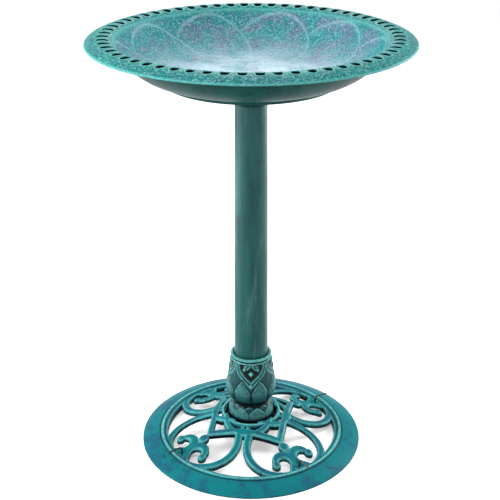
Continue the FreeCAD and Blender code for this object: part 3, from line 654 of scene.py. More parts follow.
def scroll_shapes(points):
    """Depth, crown, shoulder and lift of every scroll at the points, one row per scroll."""
    for quarter in range(4):
        plain = facing(points, PATTERN_TURN + 90 * quarter)
        fleur = facing(points, PATTERN_TURN + 45 + 90 * quarter)
        for spots in (plain, mirrored(plain)):
            yield arc_depth(spots, **SPLIT_BAR), 3.4, 6.0, -0.3
            yield bar_depth(spots, **BRACKET), 2.4, 3.0, -1.8
        half = STRAP_REACH
        yield bar_depth(plain, (half, -half), (half, half), STRAP_WIDTH), 3.4, 5.4, 0.3
        yield arc_depth(plain, **LOBE), 2.6, 3.8, 0.8
        for spots in (fleur, mirrored(fleur)):
            yield arc_depth(spots, **HORN), 4.2, 7.0, -0.2
            yield disc_depth(spots, *HORN_TIP), 4.6, 7.0, 0.8
            yield bar_depth(spots, **ROOT), 3.4, 6.5, -0.4
        yield disc_depth(fleur, *KNOB), 4.2, 9.0, 0.6
        yield bar_depth(fleur, **FLEUR_WEB), 1.0, 3.0, -3.6


def openwork(points):
    """Depth inside the whole pattern, and the height of its top, at points in plan."""
    deepest = np.full(len(points), -np.inf)
    top = np.full(len(points), -np.inf)
    for depth, crown, shoulder, lift in scroll_shapes(points):
        deepest = np.maximum(deepest, depth)
        round_off = 1 - np.clip(depth / shoulder, 0, 1)
        height = lift - crown * round_off ** 2.4
        top = np.where(depth > -0.35, np.maximum(top, height), top)
    return deepest, np.where(np.isfinite(top), top, -2.0) + cone(points)


centre_line = np.array([[OPEN_EDGE / 2, 0.0], [120.0, 0.0]])
print("depth and height at two points:", [np.round(part, 1).tolist() for part in openwork(centre_line)])

# %% [markdown]
# ## From the distance field to a skin
#
# A fine square grid is laid over the pattern, and the squares inside it are kept. Their outer points
# are pulled onto the true outline along the field's slope, so the edge is smooth and not stepped.
# The same points, lower down, are the underside, and a band of faces closes the sides.

# %% Openwork skin
CELL = 1.05
SNAP_STEPS = 3


def inside_squares(reach_out):
    """Corners in plan of a square grid, and its squares that lie inside the pattern."""
    count = int(2 * reach_out / CELL) + 1
    ticks = (np.arange(count) - (count - 1) / 2) * CELL
    across, up = np.meshgrid(ticks, ticks, indexing="ij")
    corners = np.stack([across.ravel(), up.ravel()], 1)
    first = (np.arange(count - 1)[:, None] * count + np.arange(count - 1)).ravel()
    squares = np.stack([first, first + count, first + count + 1, first + 1], 1)
    middles = corners[squares].mean(1)
    radius = np.hypot(*middles.T)
    kept = (radius < OPEN_EDGE + 3) & (radius > HUB_RADIUS - 5)
    kept[kept] = openwork(middles[kept])[0] > 0
    return corners, squares[kept]


def rim_edges(faces):
    """Edges that only one face has, in the direction that the face has them."""
    edges = np.concatenate([np.stack([faces[:, i], faces[:, (i + 1) % 4]], 1) for i in range(4)])
    key = edges.min(1).astype(np.int64) * (faces.max() + 1) + edges.max(1)
    _, where, times = np.unique(key, return_index=True, return_counts=True)
    return edges[where[times == 1]]


def snapped(spots, steps=SNAP_STEPS, nudge=0.05):
    """Outer points pulled onto the outline of the pattern."""
    for _ in range(steps):
        depth = openwork(spots)[0]
        slope = np.stack([(openwork(spots + step)[0] - openwork(spots - step)[0]) / (2 * nudge)
                          for step in ((nudge, 0), (0, nudge))], 1)
        steep = np.maximum((slope ** 2).sum(1), 0.25)
        move = np.clip(depth / steep, -CELL, CELL)[:, None] * slope
        spots = spots - move
    return spots


def add_openwork(blank):
    """The scrolls: crowned tops, flat sides and a plain underside."""
    corners, squares = inside_squares(OPEN_EDGE + RING_OVERLAP)
    used, faces = np.unique(squares, return_inverse=True)
    faces = faces.reshape(squares.shape)
    plan = corners[used]
    border = rim_edges(faces)
    outer = np.unique(border)
    free = outer[(np.hypot(*plan[outer].T) < OPEN_EDGE + 1.5) & (np.hypot(*plan[outer].T) > HUB_RADIUS - 3)]
    plan[free] = snapped(plan[free])
    depth, top = openwork(plan)
    under = cone(plan) - BAR_THICKNESS
    count = len(plan)
    edge_light = 0.75 * swell(depth - 1.6, 1.4)
    middle = np.column_stack([plan, np.minimum(top, under + BAR_THICKNESS - 3.2)])[outer]
    blank.add(np.column_stack([plan, top]), faces, edge=edge_light)
    # Painted shade under the scrolls, from the deep mask.
    blank.add(np.column_stack([plan, under]), faces[:, ::-1], deep=np.ones(count))
    number = {int(point): i for i, point in enumerate(outer)}
    band = np.array([[number[int(a)], number[int(b)]] for a, b in border])
    size = len(outer)
    sides = np.concatenate([np.column_stack([plan[outer], top[outer]]), middle,
                            np.column_stack([plan[outer], under[outer]])])
    walls = np.concatenate([np.stack([band[:, 0] + s, band[:, 0] + s + size, band[:, 1] + s + size,
                                      band[:, 1] + s], 1) for s in (0, size)])
    # Painted shade on the side walls below their top edge.
    blank.add(sides, walls, deep=np.repeat([0.0, 1.0, 1.0], size))
    print(f"openwork: {len(faces)} squares, {len(outer)} points on its outlines")


# %% [markdown]
# ## Ring and hub of the base
#
# Both are round, so they are turned from closed profiles: the sloping ring with its raised bead, and
# the hub's dish with a rounded lip. The scrolls run a few millimetres into them, as in the mould.

# %% Base
BEAD_IN, BEAD_OUT = OPEN_EDGE + 6.5, OPEN_EDGE + 12.5
BASE_COLUMNS = 300
DISH_FLOOR = HUB_TOP - 10.0
DISH_BASE = DISH_FLOOR - 6.0
BOLT_HOLE = 4.4
LIP_IN, LIP_OUT = HUB_RADIUS - 3.0, HUB_RADIUS + 3.0
PEG_QUARTERS = {"back": 0, "left": 2, "right": 3}
PEG_RADIUS = OPEN_EDGE - 3.5


def ring_profile():
    """The ring's closed section."""
    bead = arc(((BEAD_IN + BEAD_OUT) / 2, RING_TOP - 0.55), (BEAD_OUT, RING_TOP), (BEAD_IN, RING_TOP), 9)
    bead = np.stack([bead[:, 0], RING_TOP + np.maximum(bead[:, 1] - RING_TOP, 0) * 0.9], 1)
    slope = straight((BASE_RADIUS - 1.2, 3.1), (BEAD_OUT + 1.6, RING_TOP - 0.4), 14)
    slope[:, 1] += 1.1 * np.sin(np.linspace(0, math.pi, 14))
    return profile([(OPEN_EDGE, 0), (OPEN_EDGE + 5, 0), (OPEN_EDGE + 5, 9), (BEAD_OUT, 10),
                    (BASE_RADIUS - 13, 4), (BASE_RADIUS - 10, 0), (BASE_RADIUS - 0.5, 0),
                    (BASE_RADIUS, 0.6), (BASE_RADIUS, 2.0), (BASE_RADIUS - 0.4, 2.7)], slope,
                   [(BEAD_OUT + 0.5, RING_TOP - 0.7)], bead,
                   [(BEAD_IN - 0.6, RING_TOP - 0.9), (BEAD_IN - 2.2, RING_TOP - 0.9),
                    (OPEN_EDGE + 2.6, RING_TOP - 0.5), (OPEN_EDGE + 1.0, RING_TOP - 1.2),
                    (OPEN_EDGE, RING_TOP - 2.6), (OPEN_EDGE, RING_TOP - 8)])


def hub_profile():
    """The hub's closed section, from the bolt hole over the dish and lip to its outside."""
    crown = arc((HUB_RADIUS, HUB_TOP - 3.0), (LIP_IN, HUB_TOP - 3.0), (HUB_RADIUS, HUB_TOP), 6)
    down = arc((HUB_RADIUS, HUB_TOP - 3.0), (HUB_RADIUS, HUB_TOP), (LIP_OUT, HUB_TOP - 3.0), 6)
    return profile([(BOLT_HOLE, DISH_BASE), (BOLT_HOLE, DISH_FLOOR - 0.4), (BOLT_HOLE + 0.4, DISH_FLOOR),
                    (LIP_IN - 4, DISH_FLOOR), (LIP_IN - 2.2, DISH_FLOOR + 0.6),
                    (LIP_IN - 1.2, DISH_FLOOR + 3)], crown, down,
                   [(LIP_OUT, DISH_FLOOR), (LIP_OUT - 0.6, DISH_BASE)])


def make_base():
    """The base's skin: ring, hub and scrolls."""
    blank = Blank()
    for section, name in ((ring_profile(), "ring"), (hub_profile(), "hub")):
        radius, height = section[:, 0], section[:, 1]
        faces = turned_faces(len(section), BASE_COLUMNS, closed=True)
        if name == "ring":
            # Painted highlight (edge) on the bead and the ring's inner lip, and painted shade (deep) on the
            # underside, the inside and in the grooves beside the bead.
            edge = (swell(radius - (BEAD_IN + BEAD_OUT) / 2, 2.2) * (height > RING_TOP)
                    + swell(radius - (OPEN_EDGE + 1.6), 1.0) * (height > RING_TOP - 3) * 0.8)
            deep = np.where((height < 1.9) | ((height < 11) & (radius < BEAD_OUT)), 1.0, 0.0)
            groove_shade = (swell(radius - (BEAD_IN - 1.6), 1.2) * (height > RING_TOP - 3) * 0.7
                      + swell(radius - (BEAD_OUT + 1.0), 0.9) * (height > RING_TOP - 2))
            deep = np.maximum(deep, groove_shade)
        else:
            # Painted highlight (edge) on the hub's lip, and painted shade (deep) in the dish and under the
            # hub.
            edge = swell(np.hypot(radius - HUB_RADIUS - 0.3, (height - HUB_TOP) * 0.8), 2.4)
            deep = np.where((height < HUB_TOP - 4) | (radius < LIP_IN - 1), 1.0, 0.0)
        blank.add(turned(section, BASE_COLUMNS), faces, edge=np.repeat(edge, BASE_COLUMNS),
                  deep=np.repeat(deep, BASE_COLUMNS))
    add_openwork(blank)
    return blank.cast("base_skin", weld=0.01)


base = make_base()

# %% [markdown]
# ## Relief on a round body
#
# The lotus bud is a turned body with carving all round it. Unrolled, the carving is a flat drawing of
# distance round the body and height. Its relief is made from the same kind of depths as the openwork
# and from soft ridges, and is added to the body's radius.


# %% Round relief
def round_body(line, columns, first_level, last_level, rows):
    """Angles, levels and radii of a grid on a turned body, whose profile is (radius, height)."""
    levels = np.linspace(first_level, last_level, rows)
    radii = np.interp(levels, line[:, 1], line[:, 0])
    angles = np.radians(np.arange(columns) * 360 / columns)
    angle, height = np.meshgrid(angles, levels)
    return angle, height, np.repeat(radii[:, None], columns, 1)


def unrolled(angle, middle, pitch, girth):
    """Distance round the body from the nearest copy of a middle, in millimetres."""
    turn = (np.degrees(angle) - middle + pitch / 2) % pitch - pitch / 2
    return np.radians(turn) * girth


def ridge_along(across, height, spots, width):
    """A soft ridge along a line drawn on the unrolled body."""
    points = np.stack([across.ravel(), height.ravel()], 1)
    return swell(line_distance(points, smooth_line(spots, 6)), width).reshape(across.shape)


# %% [markdown]
# ## The lotus bud
#
# Eight blunt petals stand round the bulge. Behind them, four wide leaves have a double ribbed border
# that meets its neighbour's in a V, and in each V sit a diamond, a smaller one below it and two
# curls, under the two rings of the collar.

# %% Bud carving
BUD_FOOT = CALYX_TOP - 1.5
BUD_COLUMNS, BUD_ROWS = 384, 172
BUD_GIRTH = 38.0
BUD_BODY = np.array([(31.2, 72.0), (31.0, 76.0), (32.6, 80.0), (36.4, 86.5), (38.9, 94.0), (40.2, 104.0),
                     (39.6, 114.0), (38.1, 125.0), (36.6, 135.0), (35.4, 146.0), (34.6, 156.0),
                     (33.8, 158.0), (33.8, 166.0)])
FRONT_PETALS = dict(middle=22.5, pitch=45.0)
V_VALLEYS = dict(middle=270.0, pitch=90.0)
LEAVES = dict(middle=225.0, pitch=90.0)
COLLAR_RINGS = ((158.6, 1.7), (164.2, 2.0))
UPPER_RIB = ([(0.0, 124.0), (8.0, 131.5), (15.0, 138.5), (21.5, 147.0), (24, 156)], 1.55)
LOWER_RIB = ([(0.0, 116.0), (9.0, 125.0), (18.5, 134.0), (26.0, 143.0), (28.5, 156)], 1.7)
CURL = ([(1.6, 158), (3.6, 153), (7.6, 149.4), (11.2, 151.2), (10.6, 155.0), (7.9, 154.6)], 1.45)
CURL_BEAD, CURL_BEAD_RADIUS = (12.6, 147.6), 3.0
BIG_DIAMOND = dict(middle=141.0, half_width=5.4, half_height=6.0)
SMALL_DIAMOND = dict(middle=119.6, half_width=3.4, half_height=4.2)
CUP_CLEARANCE, CUP_FLOOR = 0.45, 93.0
STEM_BORE, STEM_FLOOR, STEM_RADIUS = 20.0, 56.0, 23.4


def petal_depth(across, height):
    """How deep a point lies inside the nearest front petal."""
    half, shoulder, tip = 14.4, 103.0, 129.0
    lean = np.clip((height - shoulder) / (tip - shoulder), 0, 2)
    above = (1 - np.abs(across) / half - lean ** 1.45) * half * 0.72
    below = (half - np.abs(across)) * 0.95
    return np.where(height > shoulder, np.minimum(above, below), below)


def diamond(across, height, middle, half_width, half_height):
    """A low pyramid, 1 at its middle and nothing from its edges outwards."""
    return np.clip(1 - np.abs(across) / half_width - np.abs(height - middle) / half_height, 0, 1)


def bud_relief(angle, height):
    """Carving over the bud's body, and its masks of painted highlight (light) and painted shade (shade)."""
    front = unrolled(angle, girth=BUD_GIRTH, **FRONT_PETALS)
    valley = unrolled(angle, girth=BUD_GIRTH, **V_VALLEYS)
    leaf = unrolled(angle, girth=BUD_GIRTH, **LEAVES)
    depth = petal_depth(front, height)
    petal = np.clip(depth / 5.0, 0, 1)
    pillow = 3.2 * (1 - (1 - petal) ** 2.0) * (depth > 0)
    side = np.abs(valley)
    upper = ridge_along(side, height, *UPPER_RIB)
    lower = ridge_along(side, height, *LOWER_RIB)
    vein = swell(leaf, 1.2) * rise(height, 118, 130) * (1 - rise(height, 150, 156))
    inside_leaf = rise(side * 0.85 - (height - 118) * 0.72, -1.5, 1.5)
    big = diamond(valley, height, **BIG_DIAMOND)
    small = diamond(valley, height, **SMALL_DIAMOND)
    curl = ridge_along(side, height, *CURL)
    bead_away = np.hypot(side - CURL_BEAD[0], height - CURL_BEAD[1])
    bead = np.clip(1 - bead_away / CURL_BEAD_RADIUS, 0, 1) ** 0.5
    ornament = np.maximum.reduce([2.6 * np.minimum(big * 2.2, 1), 2.2 * np.minimum(small * 2, 1),
                                  2.0 * curl, 2.0 * bead])
    back = np.maximum.reduce([2.1 * upper, 2.1 * lower, 1.1 * inside_leaf + 0.6 * vein, ornament])
    back *= 1 - rise(height, 156, 157.6)
    lift = np.where(depth > 0, np.maximum(pillow, 0.0), back * rise(-depth, 0.0, 1.2) - 0.2)
    lift *= rise(height, 79.0, 87.0)
    outline = swell(depth - 1.7, 1.0) * rise(height, 92, 104)
    glow = petal * rise(height, 88, 108) * 0.3
    behind = depth < -0.6
    light = np.maximum.reduce([outline * 0.45, glow, 0.75 * upper * behind, 0.75 * lower * behind,
                               big * 2, small * 2, curl * 0.8, bead * 1.2])
    shade = np.where(depth > 0, 1 - rise(depth, 0.2, 2.4), 1 - np.clip(back / 1.3, 0, 1))
    shade = np.maximum(shade * rise(height, 78, 90), 1 - rise(height, 79.0, 90.0))
    for middle, half in COLLAR_RINGS:
        ring = np.clip(1 - ((height - middle) / half) ** 2, 0, 1) ** 0.5
        lift += ring * 1.5
        light = np.maximum(light, ring ** 3 * 1.4)
        shade = np.where(np.abs(height - middle) < half * 1.5, 1 - ring, shade)
    gap = swell(height - 161.6, 0.9)
    return lift, np.clip(light, 0, 1) * (1 - gap), np.clip(np.maximum(shade, gap), 0, 1)


def make_bud():
    """The bud's skin: its carved body, the cup that takes the post, and its foot in the calyx."""
    blank = Blank()
    angle, height, radius = round_body(BUD_BODY, BUD_COLUMNS, BUD_FOOT, BUD_TOP - 0.6, BUD_ROWS)
    lift, light, shade = bud_relief(angle, height)
    radius = radius + lift
    blank.add(np.stack([radius * np.cos(angle), radius * np.sin(angle), height], -1),
              grid_faces(BUD_ROWS, BUD_COLUMNS), edge=light, deep=shade)
    top = np.column_stack([radius[-1] * np.cos(angle[-1]), radius[-1] * np.sin(angle[-1]), height[-1]])
    cup = reach("post") + CUP_CLEARANCE
    inner = [(34.4, BUD_TOP - 0.1), (33.4, BUD_TOP), (cup + 0.8, BUD_TOP), (cup, BUD_TOP - 0.8),
             (cup, CUP_FLOOR), (STEM_BORE, CUP_FLOOR), (STEM_BORE, STEM_FLOOR), (BOLT_HOLE, STEM_FLOOR),
             (BOLT_HOLE, CALYX_FOOT), (STEM_RADIUS, CALYX_FOOT), (STEM_RADIUS, BUD_FOOT - 0.2)]
    rows = [top] + [turned(np.array([spot]), BUD_COLUMNS)[0] for spot in inner]
    foot = np.column_stack([radius[0] * np.cos(angle[0]), radius[0] * np.sin(angle[0]), height[0]])
    rows.append(foot)
    # Painted highlight on the collar's top rows, and painted shade inside the cup, the stem bore and on the
    # foot.
    glow = [1.0, 1.0, 1.0, 0.7] + [0.0] * (len(rows) - 4)
    dark = [0.0] * 4 + [1.0] * (len(rows) - 4)
    blank.add(np.stack(rows), grid_faces(len(rows), BUD_COLUMNS), edge=np.repeat(glow, BUD_COLUMNS),
              deep=np.repeat(dark, BUD_COLUMNS))
    return blank.cast("bud_skin")


bud = make_bud()

# %% [markdown]
# ## The calyx
#
# A ring of eight short pointed petals stands in the hub's dish and hides the bud's foot. Their rims
# are thin raised lines, and the tips of a second row show in the notches between them.

# %% Calyx
CALYX_BODY = np.array([(33.6, 40.0), (35.6, 46.0), (36.0, 52.0), (35.2, 60.0), (33.2, 66.0), (31.0, 71.0),
                       (29.8, 74.0)])
CALYX_ROWS = 66
CALYX_PETALS = dict(middle=242.5, pitch=45.0)
CALYX_BACK = dict(middle=265.0, pitch=45.0)
CALYX_GIRTH = 35.0
CALYX_BORE = 24.0
CALYX_HALF = 13.7
CALYX_RIM = dict(tip=70.6, notch=60.6)
CALYX_BACK_RIM = dict(tip=72.4, notch=64.0)


def rim_height(across, tip, notch):
    """Height of a petal's pointed rim at a distance from its middle."""
    return tip - (tip - notch) * np.clip(np.abs(across) / CALYX_HALF, 0, 1) ** 1.25


def make_calyx():
    """The calyx ring's skin."""
    blank = Blank()
    angle, height, radius = round_body(CALYX_BODY, BUD_COLUMNS, CALYX_FOOT, CALYX_TOP, CALYX_ROWS)
    front = unrolled(angle, girth=CALYX_GIRTH, **CALYX_PETALS)
    behind = unrolled(angle, girth=CALYX_GIRTH, **CALYX_BACK)
    below = rim_height(front, **CALYX_RIM) - height
    below_back = rim_height(behind, **CALYX_BACK_RIM) - height
    rim = swell(below - 1.4, 1.5)
    rim_back = swell(below_back - 0.8, 0.8) * (below < -0.4)
    crease = swell(np.abs(front) - CALYX_HALF, 1.1) * rise(below, -1, 1)
    lift = 2.3 * rise(below, -0.3, 1.4) + 0.5 * rise(below_back, -0.3, 0.8) + 0.7 * rim + 0.4 * rim_back
    radius = radius + lift - 0.8 * crease
    light = np.maximum.reduce([0.6 * rim, 0.5 * rim_back, 0.35 * rise(below, 0.5, 4) * rise(height, 48, 58)])
    shade = np.maximum.reduce([crease, swell(below + 1.0, 1.0), 1 - rise(height, 46, 58),
                               (below < -0.3) * (1 - rise(below_back, -0.6, 0.8)) * 0.9])
    blank.add(np.stack([radius * np.cos(angle), radius * np.sin(angle), height], -1),
              grid_faces(CALYX_ROWS, BUD_COLUMNS), edge=light, deep=np.clip(shade, 0, 1))
    top = np.column_stack([radius[-1] * np.cos(angle[-1]), radius[-1] * np.sin(angle[-1]), height[-1]])
    foot = np.column_stack([radius[0] * np.cos(angle[0]), radius[0] * np.sin(angle[0]), height[0]])
    bore = [turned(np.array([(CALYX_BORE, spot)]), BUD_COLUMNS)[0] for spot in (CALYX_TOP, CALYX_FOOT)]
    rows = np.stack([top, *bore, foot])
    # Painted shade on the calyx's top, bore and foot.
    blank.add(rows, grid_faces(len(rows), BUD_COLUMNS), deep=np.ones(rows.shape[:2]))
    return blank.cast("calyx_skin")


calyx = make_calyx()

# %% [markdown]
# ## The post
#
# The post is a plain tapered tube with a narrower spigot. A perfect cone would look drawn, not
# moulded, so its radius waves by a fifth of a millimetre in long, uneven flutes, and its shoulder and
# foot have small rounds.

# %% Post
POST_COLUMNS, POST_ROWS = 144, 120
POST_RADII = (29.0, 25.5)
SHOULDER = POST_TOP - 29.0
SPIGOT_RADIUS, POST_WALL = 22.0, 3.0
POST_WAVE = 0.18


def make_post():
    """The post's skin, outside and inside."""
    blank = Blank()
    body = straight((POST_RADII[0], POST_FOOT + 1), (POST_RADII[1] + 0.05, SHOULDER - 1), POST_ROWS)
    line = profile([(POST_RADII[0] - POST_WALL, POST_FOOT), (POST_RADII[0] - 0.8, POST_FOOT)], body,
                   [(POST_RADII[1] - 0.25, SHOULDER - 0.25), (POST_RADII[1] - 1.0, SHOULDER),
                    (SPIGOT_RADIUS, SHOULDER), (SPIGOT_RADIUS, POST_TOP - 0.6),
                    (SPIGOT_RADIUS - 0.6, POST_TOP), (SPIGOT_RADIUS - POST_WALL, POST_TOP),
                    (SPIGOT_RADIUS - POST_WALL, SHOULDER - POST_WALL),
                    (POST_RADII[1] - POST_WALL, SHOULDER - 2 * POST_WALL)])
    skin = turned(line, POST_COLUMNS)
    angle = np.arctan2(skin[..., 1], skin[..., 0])
    height = skin[..., 2]
    on_body = ((np.hypot(skin[..., 0], skin[..., 1]) > POST_RADII[1] - 0.1)
               & (height > BUD_TOP + 1) & (height < SHOULDER - 2))
    wave = (np.sin(7 * angle + 0.008 * height) + np.sin(13 * angle - 0.011 * height + 1.0)
            + np.sin(3 * angle + 0.019 * height)) / 3
    scale = 1 + np.where(on_body, POST_WAVE * wave / POST_RADII[1], 0)
    skin[..., :2] *= scale[..., None]
    blank.add(skin, turned_faces(len(line), POST_COLUMNS, closed=True))
    return blank.cast("post_skin")


post = make_post()

# %% [markdown]
# ## Wire pegs
#
# Three bent wires hold the base to the lawn. Each is a round wire swept along a short path: up
# through its eyelet, over a bend, and out over the ring with a slight droop at its tip.

# %% Pegs
WIRE_RADIUS = 1.5
WIRE_SIDES = 14
PEG_LEG_END, PEG_ARM_LEVEL, PEG_ARM = 0.5, 25.0, 27.0
PEG_TIP_DROOP = 2.5
ROUND_END = (0.87, 0.5, 0.02)


def swept(path, radius, sides):
    """A round wire along a path that lies in the XZ plane, with rounded ends."""
    path = np.array(path, float)
    along = np.gradient(path, axis=0)
    along /= np.linalg.norm(along, axis=1)[:, None]
    across = np.array([0.0, 1.0, 0.0])
    up = np.cross(along, across)
    turns = np.arange(sides) * 2 * math.pi / sides
    rows = []

    def add_row(spot, index, size):
        rows.append(spot + size * radius * (np.cos(turns)[:, None] * across
                                            + np.sin(turns)[:, None] * up[index]))

    for size in ROUND_END[::-1]:
        add_row(path[0] + along[0] * radius * (size - 1), 0, size)
    for index, spot in enumerate(path):
        add_row(spot, index, 1.0)
    for size in ROUND_END:
        add_row(path[-1] - along[-1] * radius * (size - 1), len(path) - 1, size)
    return np.stack(rows)


def peg_path():
    """The middle of a peg's wire, as distance out from its leg and height."""
    bend = 4.0
    leg = straight((0, PEG_LEG_END + WIRE_RADIUS), (0, PEG_ARM_LEVEL - bend), 12)
    corner = arc((bend, PEG_ARM_LEVEL - bend), (0, PEG_ARM_LEVEL - bend), (bend, PEG_ARM_LEVEL), 9)
    arm = straight((bend, PEG_ARM_LEVEL), (PEG_ARM - WIRE_RADIUS, PEG_ARM_LEVEL), 16)
    share = (arm[:, 0] - bend) / (PEG_ARM - bend)
    arm[:, 1] -= PEG_TIP_DROOP * share ** 2.5
    line = profile(leg, corner, arm)
    return np.column_stack([line[:, 0], np.zeros(len(line)), line[:, 1]])


def make_peg(side):
    """One peg's skin, standing in its eyelet."""
    blank = Blank()
    wire = swept(peg_path(), WIRE_RADIUS, WIRE_SIDES)
    angle = math.radians(PATTERN_TURN + 45 + 90 * PEG_QUARTERS[side])
    out = wire[..., 0] + PEG_RADIUS
    placed = np.stack([out * math.cos(angle) - wire[..., 1] * math.sin(angle),
                       out * math.sin(angle) + wire[..., 1] * math.cos(angle), wire[..., 2]], -1)
    blank.add(placed, grid_faces(len(placed), WIRE_SIDES))
    for row, reverse in ((0, True), (len(placed) - 1, False)):
        ring = placed[row]
        fan = [[i, (i + 1) % WIRE_SIDES, WIRE_SIDES] for i in range(WIRE_SIDES)]
        blank.add(np.concatenate([ring, [ring.mean(0)]]), [f[::-1] for f in fan] if reverse else fan)
    return blank.cast(f"peg_{side}_wire", weld=0.005)


pegs = {side: make_peg(side) for side in PEG_QUARTERS}

# %% [markdown]
# ## Verdigris paint
#
# The castings are painted in layers: a teal ground, cooler lavender-grey patches rubbed over it,
# painted highlights of a light colour on raised edges, and painted shade of a dark colour in grooves,
# hollows and undersides. Two functions lay them, and each casting gives its own colours. The fine
# grain of the moulding is a bump.

# %% Paint layers
SATIN = {"Specular IOR Level": 0.12}
DRY = {"Specular IOR Level": 0.04}


def radius_of(finish, place):
    """Distance of a point from the post's axis, in metres."""
    flat = finish.stretched(place, (1, 1, 0))
    return finish.node("ShaderNodeVectorMath", {"operation": "LENGTH"}, {0: flat}, out="Value")


def height_of(finish, place):
    """Height of a point, in metres."""
    return finish.node("ShaderNodeSeparateXYZ", None, {"Vector": place}, out="Z")


def mottle(finish, place, ground, patch, stain, patch_mm):
    """A ground colour with soft patches of a second colour and small stains of a third."""
    broad = finish.cloud(place, patch_mm, detail=4.0, roughness=0.62, distortion=0.6).step(0.44, 0.62)
    fine = finish.cloud(place, patch_mm * 0.22, detail=5.0, roughness=0.7).step(0.4, 0.66)
    colour = finish.mix(broad * (0.45 + 0.55 * fine), ground, patch)
    spots = finish.cloud(place, patch_mm * 0.4, detail=6.0, roughness=0.75, distortion=1.2)
    return finish.mix(spots.step(0.57, 0.72) * 0.75, colour, stain)


def highlight_and_shade(finish, place, colour, glint, shadow):
    """Painted highlights of a light colour on raised edges, broken up by a cloud, and painted shade of a
    dark colour in grooves and hollows.
    """
    # Painted shade from the deep mask, then a painted highlight from the edge mask, broken up by a cloud.
    highlight_break = finish.cloud(place, 5, detail=4.0, roughness=0.65).step(0.3, 0.62)
    colour = finish.mix(finish.mask("deep"), colour, shadow)
    return finish.mix(finish.mask("edge") * (0.2 + 0.5 * highlight_break), colour, glint)


def grain(finish, place, size_mm, strength, depth_mm):
    """The pitted grain of a cast surface."""
    pits = finish.cloud(place, size_mm, detail=5.0, roughness=0.6)
    dents = finish.cloud(place, size_mm * 4, detail=2.0)
    return finish.bump(pits * 0.6 + dents * 0.4, strength, depth_mm)


# %% [markdown]
# ## Finishes of the castings
#
# The bowl is the lightest casting, with lavender-grey over its basin, a painted pool of light in the
# middle of the basin, and painted shade on its underside. The post has soft upright streaks and goes
# greener towards its foot. The bud is the darkest, and the base has patches of a duller blue.

# %% Bowl finish
def bowl_finish():
    """Paint of the bowl, above and below."""
    paint = Finish("bowl_verdigris", **DRY)
    place = paint.place()
    rim = mottle(paint, place, tint(4, 112, 108), tint(40, 96, 106), tint(6, 44, 56), 46)
    basin = mottle(paint, place, tint(16, 124, 128), tint(92, 96, 126), tint(28, 36, 58), 32)
    # Painted light: the middle of the basin is mixed towards a pale lavender-white, broken up by a cloud and
    # fading out by 0.22 m from the axis.
    middle = paint.cloud(place, 44, detail=5.0, roughness=0.65).step(0.3, 0.62)
    out = radius_of(paint, place)
    basin = paint.mix((0.35 + 0.65 * middle) * (1 - out.step(0.07, 0.22)) * 0.9, basin, tint(178, 196, 212))
    colour = paint.mix(paint.mask("basin"), rim, basin)
    grit = paint.cloud(place, 3.4, detail=4.0, roughness=0.75)
    colour = paint.mix(grit.step(0.48, 0.66) * 0.42, colour, tint(170, 206, 212))
    colour = paint.mix((1 - grit.step(0.34, 0.5)) * 0.4, colour, tint(30, 56, 72))
    # Painted highlight along the petal lines.
    colour = paint.mix(paint.mask("petal") * 0.3, colour, tint(176, 214, 216))
    # Painted highlight on the slot lips and along the rim's edges, from the lip mask.
    colour = paint.mix(paint.mask("lip") * 0.55, colour, tint(96, 176, 172))
    # Painted shade: the underside is painted much darker than the top, as the shade under the bowl.
    below = mottle(paint, place, tint(8, 58, 55), tint(7, 42, 44), tint(4, 22, 24), 40)
    colour = paint.mix(paint.mask("under"), colour, below)
    # Painted shade: near-black inside the slot collars, from the deep mask.
    colour = paint.mix(paint.mask("deep"), colour, tint(1, 7, 8))
    gloss = paint.cloud(place, 20, detail=3.0) * 0.18 + 0.32
    return paint.paint(Base_Color=colour, Roughness=gloss, Normal=grain(paint, place, 2.6, 0.55, 0.6))


# %% Post finish
def post_finish():
    """Paint of the post, with upright streaks."""
    paint = Finish("post_verdigris", **SATIN)
    place = paint.place()
    low = 1 - height_of(paint, place).step(0.15, 0.6)
    ground = paint.mix(low, tint(36, 80, 80), tint(10, 72, 70))
    long = paint.stretched(place, (1, 1, 0.1))
    streaks = paint.cloud(long, 11, detail=4.0, roughness=0.6, distortion=0.4).step(0.36, 0.66)
    colour = paint.mix(streaks * 0.5, ground, tint(20, 52, 56))
    pale = paint.cloud(long, 17, detail=5.0, roughness=0.7, distortion=0.8).step(0.5, 0.7)
    colour = paint.mix(pale * 0.3, colour, tint(88, 130, 132))
    stain = paint.cloud(place, 26, detail=5.0, roughness=0.7, distortion=1.0).step(0.54, 0.7)
    colour = paint.mix(stain * 0.45, colour, tint(36, 50, 64))
    gloss = 0.3 + 0.2 * streaks
    return paint.paint(Base_Color=colour, Roughness=gloss, Normal=grain(paint, place, 3.0, 0.3, 0.4))


# %% Bud and base finishes
def bud_finish():
    """Paint of the bud and the calyx."""
    paint = Finish("bud_verdigris", **SATIN)
    place = paint.place()
    colour = mottle(paint, place, tint(10, 62, 64), tint(16, 50, 62), tint(2, 16, 20), 12)
    colour = highlight_and_shade(paint, place, colour, tint(108, 190, 186), tint(1, 7, 9))
    gloss = paint.cloud(place, 6, detail=3.0) * 0.3 + 0.24
    return paint.paint(Base_Color=colour, Roughness=gloss, Normal=grain(paint, place, 1.9, 0.6, 0.6))


def base_finish():
    """Paint of the base."""
    paint = Finish("base_verdigris", **DRY)
    place = paint.place()
    colour = mottle(paint, place, tint(14, 102, 108), tint(28, 72, 96), tint(12, 30, 52), 40)
    colour = highlight_and_shade(paint, place, colour, tint(112, 192, 190), tint(2, 10, 12))
    gloss = paint.cloud(place, 12, detail=3.0) * 0.22 + 0.3
    return paint.paint(Base_Color=colour, Roughness=gloss, Normal=grain(paint, place, 2.6, 0.4, 0.5))


